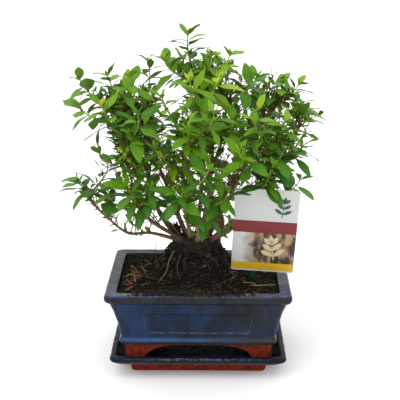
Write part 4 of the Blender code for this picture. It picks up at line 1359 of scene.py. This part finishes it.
def swept(path, radii, sides, rough=0.0):
    """A tube whose radius is given at each point, with an uneven skin, as points and faces."""
    rings = []
    tangent = (path[1] - path[0]).normalized()
    side = tangent.orthogonal().normalized()
    for i, centre in enumerate(path):
        tangent = (path[min(i + 1, len(path) - 1)] - path[max(i - 1, 0)]).normalized()
        side = (side - tangent * side.dot(tangent)).normalized()
        other = tangent.cross(side)
        ring = []
        for k in range(sides):
            angle = 2 * math.pi * k / sides
            out = math.cos(angle) * side + math.sin(angle) * other
            skin = 1 + rough * noise.noise((centre + out * radii[i]) / (2.2 * radii[0] + 0.6))
            ring.append(centre + out * radii[i] * skin)
        rings.append(ring)
    return loft(rings)


def node_bulges(count, every, size):
    """How much a stem swells at each of its points, where leaves have stood."""
    return [size * max(0.0, math.cos(2 * math.pi * i / every)) ** 8 for i in range(count)]


def add_limb(body, name):
    """One woody limb with a flared foot and knots."""
    first, last, points = LIMBS[name]
    path = smooth_path([Vector(p) for p in points], 8)
    lengths = path_lengths(path)
    widening, fading = STUB_FLARE if name == "stub" else LIMB_FLARE
    radii, young = [], []
    for length in lengths:
        share = length / lengths[-1]
        flare = widening * math.exp(-length / fading)
        radii.append(first + (last - first) * share + flare)
        young.append(max(0.0, min(1.0, (share - YOUNG_FROM) * YOUNG_RISE)) * (first < OLD_LIMB))
    swell = node_bulges(len(path), *LIMB_KNOTS)
    radii = [radius * (1 + knot) for radius, knot in zip(radii, swell)]
    sides = 14 if first > OLD_LIMB else 10
    # The stub is near black, and each limb darkens towards its foot
    darkest = 1.0 if name == "stub" else 0.0
    soot = [darkest or max(0.0, DARK_AT_FOOT - length / DARK_REACH) for length in lengths for _ in range(sides)]
    body.add(*swept(path, radii, sides, 0.3), young=[y for y in young for _ in range(sides)], soot=soot)


def add_twig(body, foot, leafy):
    """The bare foot of a shoot, from its limb up to the leafy part."""
    path = smooth_path([*foot, leafy[0] + 0.4 * (leafy[1] - leafy[0]).normalized()], 5)
    count = len(path)
    swell = node_bulges(count, *TWIG_KNOTS)
    radii = [TWIG_RADIUS[0] + (STEM_RADIUS[0] - TWIG_RADIUS[0]) * i / (count - 1) for i in range(count)]
    radii = [radius * (1 + knot) + TWIG_FLARE * math.exp(-i)
             for i, (radius, knot) in enumerate(zip(radii, swell))]
    body.add(*swept(path, radii, 8, 0.2), young=1.0, soot=0.0)


def stump_radius(angle, height):
    """How far the stump's skin stands from its axis, as a share of its half width."""
    rings = STUMP_RINGS
    share = rings[-1][0]
    for (low_share, low), (high_share, high) in zip(rings, rings[1:]):
        if low <= height <= high:
            t = (height - low) / (high - low)
            share = low_share + (high_share - low_share) * t * t * (3 - 2 * t)
            break
    lumps = noise.noise(Vector((3 * math.cos(angle), 3 * math.sin(angle), height / 9)))
    folds = noise.noise(Vector((7 * math.cos(angle), 7 * math.sin(angle), height / 14)))
    return share * (1 + 0.2 * lumps + 0.1 * folds)


def add_stump(body):
    """The low stump: a lumpy dome that the limbs stand on."""
    rings = []
    heights = [STUMP_RINGS[0][1] + 1.0 * i for i in range(int(STUMP_RINGS[-1][1] - STUMP_RINGS[0][1]) + 1)]
    for height in heights:
        ring = []
        for k in range(STUMP_ANGLES):
            angle = 2 * math.pi * k / STUMP_ANGLES
            reach = stump_radius(angle, height)
            spot_on_skin = Vector((STUMP_CENTRE[0] + STUMP_HALF[0] * reach * math.cos(angle),
                                   STUMP_CENTRE[1] + STUMP_HALF[1] * reach * math.sin(angle), height))
            ring.append(spot_on_skin + 0.5 * noise.noise_vector(spot_on_skin / 2.5))
        rings.append(ring)
    body.add(*loft(rings), young=0.0, soot=1.0)


def lump(body, centre, size, variant, **values):
    """A rounded knot of wood: a ball with a rough skin, which the variant shifts."""
    rings = []
    for level in range(1, 12):
        fall = math.pi * level / 12
        ring = []
        for k in range(18):
            turn = 2 * math.pi * k / 18
            out = Vector((math.sin(fall) * math.cos(turn), math.sin(fall) * math.sin(turn), -math.cos(fall)))
            skin = 1 + 0.35 * noise.noise(out * 1.7 + Vector((variant, 0, 0)))
            ring.append(Vector(centre) + out * Vector(size) * skin)
        rings.append(ring)
    body.add(*loft(rings), **values)


def add_stub_end(body):
    """The cut stub's rough top: a dark jagged crown."""
    _, last, points = LIMBS["stub"]
    top = Vector(points[-1])
    draw = random.Random(SEED + 4)
    for _ in range(STUB_SPLINTERS):
        angle = draw.uniform(0, 2 * math.pi)
        reach = last * math.sqrt(draw.random()) * 0.85
        foot = top + Vector((reach * math.cos(angle), reach * math.sin(angle), -2))
        tip = foot + Vector((draw.uniform(-0.8, 0.8), draw.uniform(-0.8, 0.8), draw.uniform(3, 6.5)))
        body.add(*swept([foot, foot.lerp(tip, 0.5), tip], [1.1, 0.8, 0.25], 5), young=0.0, soot=1.0)


def add_roots(body):
    """Roots that run over the mound and into the peat."""
    draw = random.Random(SEED + 5)
    for angle, length in ROOTS:
        heading = math.radians(angle)
        path = []
        for step in range(8):
            out = ROOT_FROM + length * step / 7
            heading += draw.uniform(-0.07, 0.07)
            x = STUMP_CENTRE[0] + out * math.cos(heading)
            y = STUMP_CENTRE[1] + 0.8 * out * math.sin(heading)
            lift = 1.6 * (1 - step / 6)
            path.append(Vector((x, y, min(soil_height(x, y) + lift, ROOT_TOP))))
        path = smooth_path(path, 3)
        count = len(path)
        radii = [draw.uniform(0.95, 1.05) * (ROOT_RADIUS - ROOT_THINNING * i / (count - 1))
                 for i in range(count)]
        body.add(*swept(path, radii, 10, 0.35), young=0.0, soot=0.9)


def make_wood(plans, finish):
    body = Body("young", "soot")
    add_stump(body)
    for name in LIMBS:
        add_limb(body, name)
    add_stub_end(body)
    add_roots(body)
    for number, (centre, size) in enumerate(BURLS):
        lump(body, centre, size, number * 4.1, young=0.6, soot=0.3 if number == 0 else 0.95)
    for foot, leafy in plans:
        add_twig(body, foot, leafy)
    wood = body.make("bonsai_wood", finish, 70)
    dress(wood, "bark", "trunk_and_branches")


# Leafy sprays

def leaf_width(share):
    """Half the blade's width at a share of its length, as a share of the widest."""
    if share <= PETIOLE:
        return 0.12
    t = (share - PETIOLE) / (1 - PETIOLE)
    return max(0.12 * (1 - t), math.sin(math.pi * t ** 0.95) ** 0.82)


def fine_leaf(body, leaf, stations, across, draw, youth, withered=0.0):
    """A thin leaf with a folded midrib, waved edges and a rounded face, in both its sides."""
    side = leaf["along"].cross(leaf["up"]).normalized()
    length = leaf["length"]
    wave, phase = draw.uniform(*BLADE_WAVE) * length, draw.uniform(0, 6.28)
    twist = draw.uniform(-BLADE_TWIST, BLADE_TWIST)
    top, under, run, spread = [], [], [], []
    for station in range(stations + 1):
        share = BLADE_END * (station / stations) ** BLADE_CROWDING
        fall = leaf["up"] * leaf["droop"] * length * share**2
        centre = leaf["root"] + leaf["along"] * length * share - fall
        half = leaf["half_width"] * leaf_width(share)
        turn = Matrix.Rotation(twist * share, 3, leaf["along"])
        side_here, up_here = turn @ side, turn @ leaf["up"]
        for column in range(across + 1):
            u = 2 * column / across - 1
            fold = (LEAF_FOLD * abs(u) - 0.22 * u * u) * half
            ripple = wave * u * u * math.sin(9 * share + phase + (2.2 if u > 0 else 0)) * min(1, share * 3)
            place = centre + side_here * half * u + up_here * (fold + ripple)
            thick = BLADE_THICKNESS / 2 * (1.2 - 0.85 * abs(u)) * (1 + 1.2 * max(0, 0.3 - share))
            top.append(place + up_here * thick)
            under.append(place - up_here * thick)
            run.append(share)
            spread.append(u)
    width = across + 1
    count = len(top)
    faces = []
    for station in range(stations):
        for column in range(across):
            a = station * width + column
            faces.append([a, a + 1, a + width + 1, a + width])
            faces.append([count + a, count + a + width, count + a + width + 1, count + a + 1])
    for a in range(0, stations * width, width):
        faces.append([a + width, count + a + width, count + a, a])
        b = a + across
        faces.append([b, count + b, count + b + width, b + width])
    for a in range(across):
        faces.append([a, count + a, count + a + 1, a + 1])
        b = stations * width + a
        faces.append([b + 1, count + b + 1, count + b, b])
    body.add(top + under, faces, along=run * 2, across=spread * 2, under=[0.0] * count + [1.0] * count,
             youth=youth, withered=withered)


def leaf_at(root, along, up, length, half_width, droop):
    """A leaf given by where it starts, points and looks."""
    along = along.normalized()
    up = (up - along * up.dot(along)).normalized()
    return {"root": root, "along": along, "up": up, "length": length,
            "half_width": half_width, "droop": droop}


def small_pair(body, draw, centre, tangent, radial, length, youth, opening=(35, 65)):
    """Two opposite small leaves, as sprout in the axils and at a tip."""
    for sign in (-1, 1):
        out = Matrix.Rotation(draw.uniform(-0.4, 0.4), 3, tangent) @ radial * sign
        angle = math.radians(draw.uniform(*opening))
        along = tangent * math.cos(angle) + out * math.sin(angle)
        size = length * draw.uniform(0.8, 1.15)
        leaf = leaf_at(centre, along, tangent + 0.4 * Vector((0, 0, 1)), size,
                       size * LEAF_WIDTH / 2 * draw.uniform(0.85, 1.1), draw.uniform(0.05, 0.3))
        fine_leaf(body, leaf, SMALL_STATIONS, SMALL_ACROSS, draw,
                  min(1.0, youth * draw.uniform(0.85, 1.1)))


def spray_youth(number):
    """How young a shoot's growth is: some tips are yellow-green and inner shoots are dark."""
    draw = random.Random(SEED * 7 + number)
    start, rise, most = YOUTH_RISE
    outer = min(1.0, max(0.0, (SHOOT_TIPS[number - 1][2] - start) / rise)) * most
    return YOUTH + outer + draw.uniform(*YOUTH_DRAW)


def add_stem(body, path, nodes, youth):
    """A green stem that swells at each node and thins to its tip."""
    fine = smooth_path(path, 2)
    centres = [centre for centre, _, _ in nodes]
    radii = []
    for i, point in enumerate(fine):
        share = i / (len(fine) - 1)
        radius = 0.8 * STEM_RADIUS[0] + (0.4 - 0.8 * STEM_RADIUS[0]) * share
        near = min((point - centre).length for centre in centres)
        radii.append(radius * (1 + 0.35 * math.exp(-((near / 1.3) ** 2))))
    sides = 8
    ages = [min(1.0, 0.15 + youth + i / len(fine)) for i in range(len(fine)) for _ in range(sides)]
    body.add(*swept(fine, radii, sides, 0.12), youth=ages)


def make_spray(number, path, nodes, pairs, finishes):
    """One shoot: its stem, the leaves of the solid in a finer form, and small leaves between them."""
    draw = random.Random(SEED * 31 + number)
    leaves = Body(*LEAF_VALUES)
    stem = Body("youth")
    youth = spray_youth(number)
    add_stem(stem, path, nodes, youth)
    for pair, ((centre, tangent, ways), chosen) in enumerate(zip(nodes[1:], pairs)):
        share = pair / (LEAF_PAIRS - 1)
        for half, leaf in enumerate(chosen):
            if leaf:
                age = youth + YOUNGER_LEAF * share**3 + draw.uniform(-LEAF_YOUTH_DRAW, LEAF_YOUTH_DRAW)
                dried = 0.5 if (number, pair, half) in YELLOW_LEAVES else 0.0
                fine_leaf(leaves, leaf, BLADE_STATIONS, BLADE_ACROSS, draw, age, dried)
        if draw.random() < AXIL_SHARE and pair < LEAF_PAIRS - 1 and centre.z < AXIL_BELOW:
            small_pair(leaves, draw, centre, tangent, ways[pair % 2], draw.uniform(*AXIL_LEAF),
                       youth + YOUNGER_AXIL)
    tip, tangent, ways = nodes[-1]
    small_pair(leaves, draw, tip, tangent, ways[0], draw.uniform(*TIP_LEAF), youth + YOUNGER_TIP, (12, 32))
    finish = [0] * len(leaves.faces) + [1] * len(stem.faces)
    leaves.add(stem.points, stem.faces, youth=stem.values["youth"])
    spray = make_object(f"spray_{number:02d}", leaves.points, leaves.faces, finishes, finish, 60)
    for key, column in leaves.values.items():
        set_attribute(spray, key, column)
    dress(spray, "leaf", f"shoot_{number:02d}")


# Small growth inside the crown

def add_inner_twig(wood, leaves, draw, start, heading, length, wander=WANDER, sizes=TWIG_LEAF):
    """A fine dark twig with a few pairs of small leaves."""
    path = [start]
    for _ in range(4):
        turn = [draw.uniform(low, wander) for low in (-wander, -wander, -0.05)]
        heading = (heading + Vector(turn)).normalized()
        path.append(path[-1] + heading * length / 4)
    path = smooth_path(path, 4)
    radii = [0.58 - 0.3 * i / (len(path) - 1) for i in range(len(path))]
    wood.add(*swept(path, radii, 6, 0.2), young=1.0, soot=0.0)
    radial = heading.orthogonal().normalized()
    for step in range(13 if start.z < BARE_BELOW and sizes == TWIG_LEAF else 5, len(path), 4):
        tangent = (path[step] - path[step - 1]).normalized()
        radial = tangent.cross(radial).normalized()
        small_pair(leaves, draw, path[step], tangent, radial, draw.uniform(*sizes), draw.uniform(0.1, 0.75))


def add_withered_bit(wood, leaves, draw, place, heading, length):
    """A dead leaf on a thin twig that comes from the nearest limb."""
    on_limbs = [point for path in limb_paths().values() for point in path]
    nearest = min(on_limbs, key=lambda point: (point - place).length)
    bent = nearest.lerp(place, 0.5) + Vector((0, 0, 2))
    path = smooth_path([nearest, bent, place], 4)
    wood.add(*swept(path, [0.35] * len(path), 6, 0.1), young=1.0, soot=0.0)
    leaf = leaf_at(place, heading, Vector((0.2, -1, 0.3)), length, 0.27 * length, 0.25)
    fine_leaf(leaves, leaf, 6, 4, draw, 0.5, 1.0)


def inside_box(point, margin):
    low, high = CROWN_BOX
    return all(low[i] + margin < point[i] < high[i] - margin for i in range(3))


def near_label(point):
    place = card_frame().inverted() @ point
    half, depth, height = LABEL_ROOM
    return abs(place.x) < half and abs(place.y) < depth and -5 < place.z < height


def make_sprouts(finish):
    """Pairs of tiny leaves straight on the thin outer limbs."""
    draw = random.Random(SEED + 6)
    leaves = Body(*LEAF_VALUES)
    for name in SPROUTING:
        path = smooth_path([Vector(p) for p in LIMBS[name][2]], 8)
        for step in range(SPROUT_FROM, len(path), SPROUT_EVERY):
            tangent = (path[step] - path[step - 1]).normalized()
            radial = Matrix.Rotation(draw.uniform(0, 6.28), 3, tangent) @ tangent.orthogonal().normalized()
            small_pair(leaves, draw, path[step] + 0.9 * radial, tangent, radial,
                       draw.uniform(*SPROUT_LEAF), draw.uniform(0.35, 0.65))
    dress(leaves.make("sprouting_leaves", finish, 60), "leaf")


def twig_starts(plans, draw):
    """Where fine twigs leave the wood: on the shoots' bare feet and along the limbs."""
    starts = []
    for foot, _ in plans:
        for _ in range(TWIGS_A_SHOOT):
            starts.append(foot[0].lerp(foot[-1], draw.random()))
    for name, path in limb_paths().items():
        if name != "stub":
            for a, b in zip(path, path[1:]):
                starts += [a.lerp(b, draw.random()) for _ in range(TWIGS_A_SPAN) if a.z > FILLED_FROM]
    return starts


def long_twig_starts(draw):
    """Where long steep twigs leave the limbs, and the way the limb runs there."""
    low, high = LONG_TWIGS_FROM
    starts = []
    for name, path in limb_paths().items():
        for a, b in zip(path, path[1:]):
            if name not in ("stub", "low_left") and low < a.z < high:
                starts += [(a.lerp(b, draw.random()), (b - a).normalized()) for _ in range(LONG_TWIGS_A_SPAN)]
    return starts


def crown_part(place):
    return min(CROWN_PARTS, key=lambda name: abs(CROWN_PARTS[name] - place.x))


def fill_crown(wood, leaves, draw, plans):
    """Fine twigs all ways round, but for where the crown is open and where the label stands."""
    for start in twig_starts(plans, draw):
        out = Vector((draw.uniform(-1, 1), draw.uniform(-1, 1), draw.uniform(0.2, 1.3))).normalized()
        length = draw.uniform(*TWIG_LENGTH)
        end = start + out * length
        sparse = start.x < SPARSE_LEFT[0] and start.z < SPARSE_LEFT[1]
        if inside_box(end, CROWN_MARGIN) and not near_label(end) and not sparse:
            part = crown_part(start)
            add_inner_twig(wood[part], leaves[part], draw, start, out, length)


def add_long_twigs(wood, leaves, draw):
    """Long steep twigs that rise from the limbs into the crown."""
    for start, along in long_twig_starts(draw):
        out = (along + Vector((draw.uniform(-0.4, 0.4), draw.uniform(-0.4, 0.4), 0.35))).normalized()
        length = draw.uniform(*LONG_TWIG_LENGTH)
        end = start + out * length
        if inside_box(end, CROWN_MARGIN) and not near_label(end) and not near_label(start.lerp(end, 0.5)):
            part = crown_part(start)
            add_inner_twig(wood[part], leaves[part], draw, start, out, length, LONG_WANDER)


def add_risers(wood, leaves, draw):
    """Short twigs with tiny leaves that stand on the lowest limb."""
    path = smooth_path([Vector(p) for p in LIMBS[RISERS_ON][2]], 8)
    for start in path[RISER_FROM::RISER_EVERY]:
        out = Vector((draw.uniform(-0.3, 0.3), draw.uniform(-0.3, 0.3), 1)).normalized()
        length = draw.uniform(*RISER_LENGTH)
        add_inner_twig(wood["left"], leaves["left"], draw, start, out, length, sizes=RISER_LEAF)


def make_inner_growth(plans, bark, leaf):
    """Fine twigs with small leaves that fill the crown, in one piece for each part of it."""
    draw = random.Random(SEED + 7)
    wood = {name: Body("young", "soot") for name in CROWN_PARTS}
    leaves = {name: Body(*LEAF_VALUES) for name in CROWN_PARTS}
    fill_crown(wood, leaves, draw, plans)
    add_long_twigs(wood, leaves, draw)
    add_risers(wood, leaves, draw)
    for start, out, length in BASE_SPROUTS:
        heading = Vector(out).normalized()
        add_inner_twig(wood["middle"], leaves["middle"], draw, Vector(start), heading, length)
    for place, out, length in WITHERED_BITS:
        part = "left" if place[0] < 0 else "right"
        add_withered_bit(wood[part], leaves[part], draw, Vector(place), Vector(out).normalized(), length)
    for name in CROWN_PARTS:
        dress(wood[name].make(f"twigs_{name}", bark, 70), "bark")
        dress(leaves[name].make(f"leaves_{name}", leaf, 60), "leaf")


# Stage, light and camera

def soft_sun():
    data = bpy.data.lights.new("soft_sun", "SUN")
    data.energy = SUN_LIGHT
    data.angle = SUN_WIDTH
    lamp = bpy.data.objects.new("soft_sun", data)
    lamp.rotation_euler = (Matrix.Rotation(SUN_TURN, 3, "Z") @ Matrix.Rotation(SUN_FALL, 3, "X")).to_euler()
    bpy.context.scene.collection.objects.link(lamp)
    return lamp


def make_stage():
    size = FLOOR_SIZE / 2
    floor_finish, _, _ = new_material("pale_floor", Base_Color=(*FLOOR_COLOUR, 1.0), Roughness=0.9)
    corners = [(-size, -size, 0), (size, -size, 0), (size, size, 0), (-size, size, 0)]
    floor = make_object("floor", corners, [[0, 1, 2, 3]], [floor_finish])
    world = bpy.data.worlds.new("studio")
    world.use_nodes = True
    world.node_tree.nodes["Background"].inputs["Color"].default_value = (*WORLD_COLOUR, 1.0)
    world.node_tree.nodes["Background"].inputs["Strength"].default_value = WORLD_LIGHT
    bpy.context.scene.world = world
    soft_sun()


def make_camera():
    data = bpy.data.cameras.new("camera")
    data.sensor_width = SENSOR
    data.lens = FOCAL_PIXELS / FRAME_PIXELS * SENSOR
    camera = bpy.data.objects.new("camera", data)
    level = math.cos(CAMERA_FALL)
    forward = Vector((-math.sin(CAMERA_TURN) * level, math.cos(CAMERA_TURN) * level, -math.sin(CAMERA_FALL)))
    camera.location = Vector(CAMERA_PLACE) * MM
    camera.rotation_euler = forward.to_track_quat("-Z", "Y").to_euler()
    bpy.context.scene.collection.objects.link(camera)
    bpy.context.scene.camera = camera
    bpy.context.scene.view_settings.view_transform = "Standard"


def main():
    noise.seed_set(SEED)  # without it noise_vector differs from run to run
    make_stage()
    make_camera()
    # The last pair sets how strong the painted glints are in the middle and out at the corners
    glaze = glaze_material("glaze", GLAZE_DARK, GLAZE_BLUE, GLAZE_BROWN, GLAZE_WEAR_AND_HIGHLIGHT, 0.16, POT_GLAZE_FOOT,
                           (0.7, 0.7))
    make_pot(glaze)
    # The saucer's painted glints are fainter, and mostly near the middle across
    make_saucer(glaze_material("saucer_glaze", SAUCER_DARK, SAUCER_BLUE, SAUCER_DARK, SAUCER_WORN, 0.09,
                               SAUCER_GLAZE_FOOT, (0.36, 0.05)))
    make_soil(peat_material())
    crumb = litter_material("crumb", PEAT_DARK, PEAT_SPECK)
    make_crumbs(crumb)
    make_clods(crumb)
    make_fibres(litter_material("fibre", FIBRE_DARK, FIBRE_PALE))
    make_chips(litter_material("chip", CHIP_DARK, CHIP_LIGHT))
    make_label([
        plain_material("card", CARD_COLOUR, 0.45), plain_material("red_print", RED_PRINT, 0.4),
        plain_material("yellow_print", YELLOW_PRINT, 0.4), plain_material("pale_print", SPRIG_PALE, 0.4),
        plain_material("green_print", GREEN_PRINT, 0.4), picture_material(),
        plain_material("stake", STAKE_COLOUR, 0.5),
    ])
    nodes = frame["nodes"]
    pot, soil, card, stake, wood = (object_tree(nodes[name]) for name in
                                    ("pot", "soil", "label_card", "label_stake", "trunk_and_branches"))
    plans, stems = plan_shoots([pot, soil, card, stake])
    bark, leaf, stem = bark_material(), leaf_material(), stem_material()
    make_wood(plans, bark)
    placed = [pot, soil, wood, card, stake]
    for number, (_, leafy) in enumerate(plans):
        others = placed + stems[:number] + stems[number + 1:]
        shoot_nodes, pairs, trees = choose_leaves(number, leafy, others)
        make_spray(number + 1, leafy, shoot_nodes, pairs, [leaf, stem])
        placed += trees
    make_sprouts(leaf)
    make_inner_growth(plans, bark, leaf)


main()
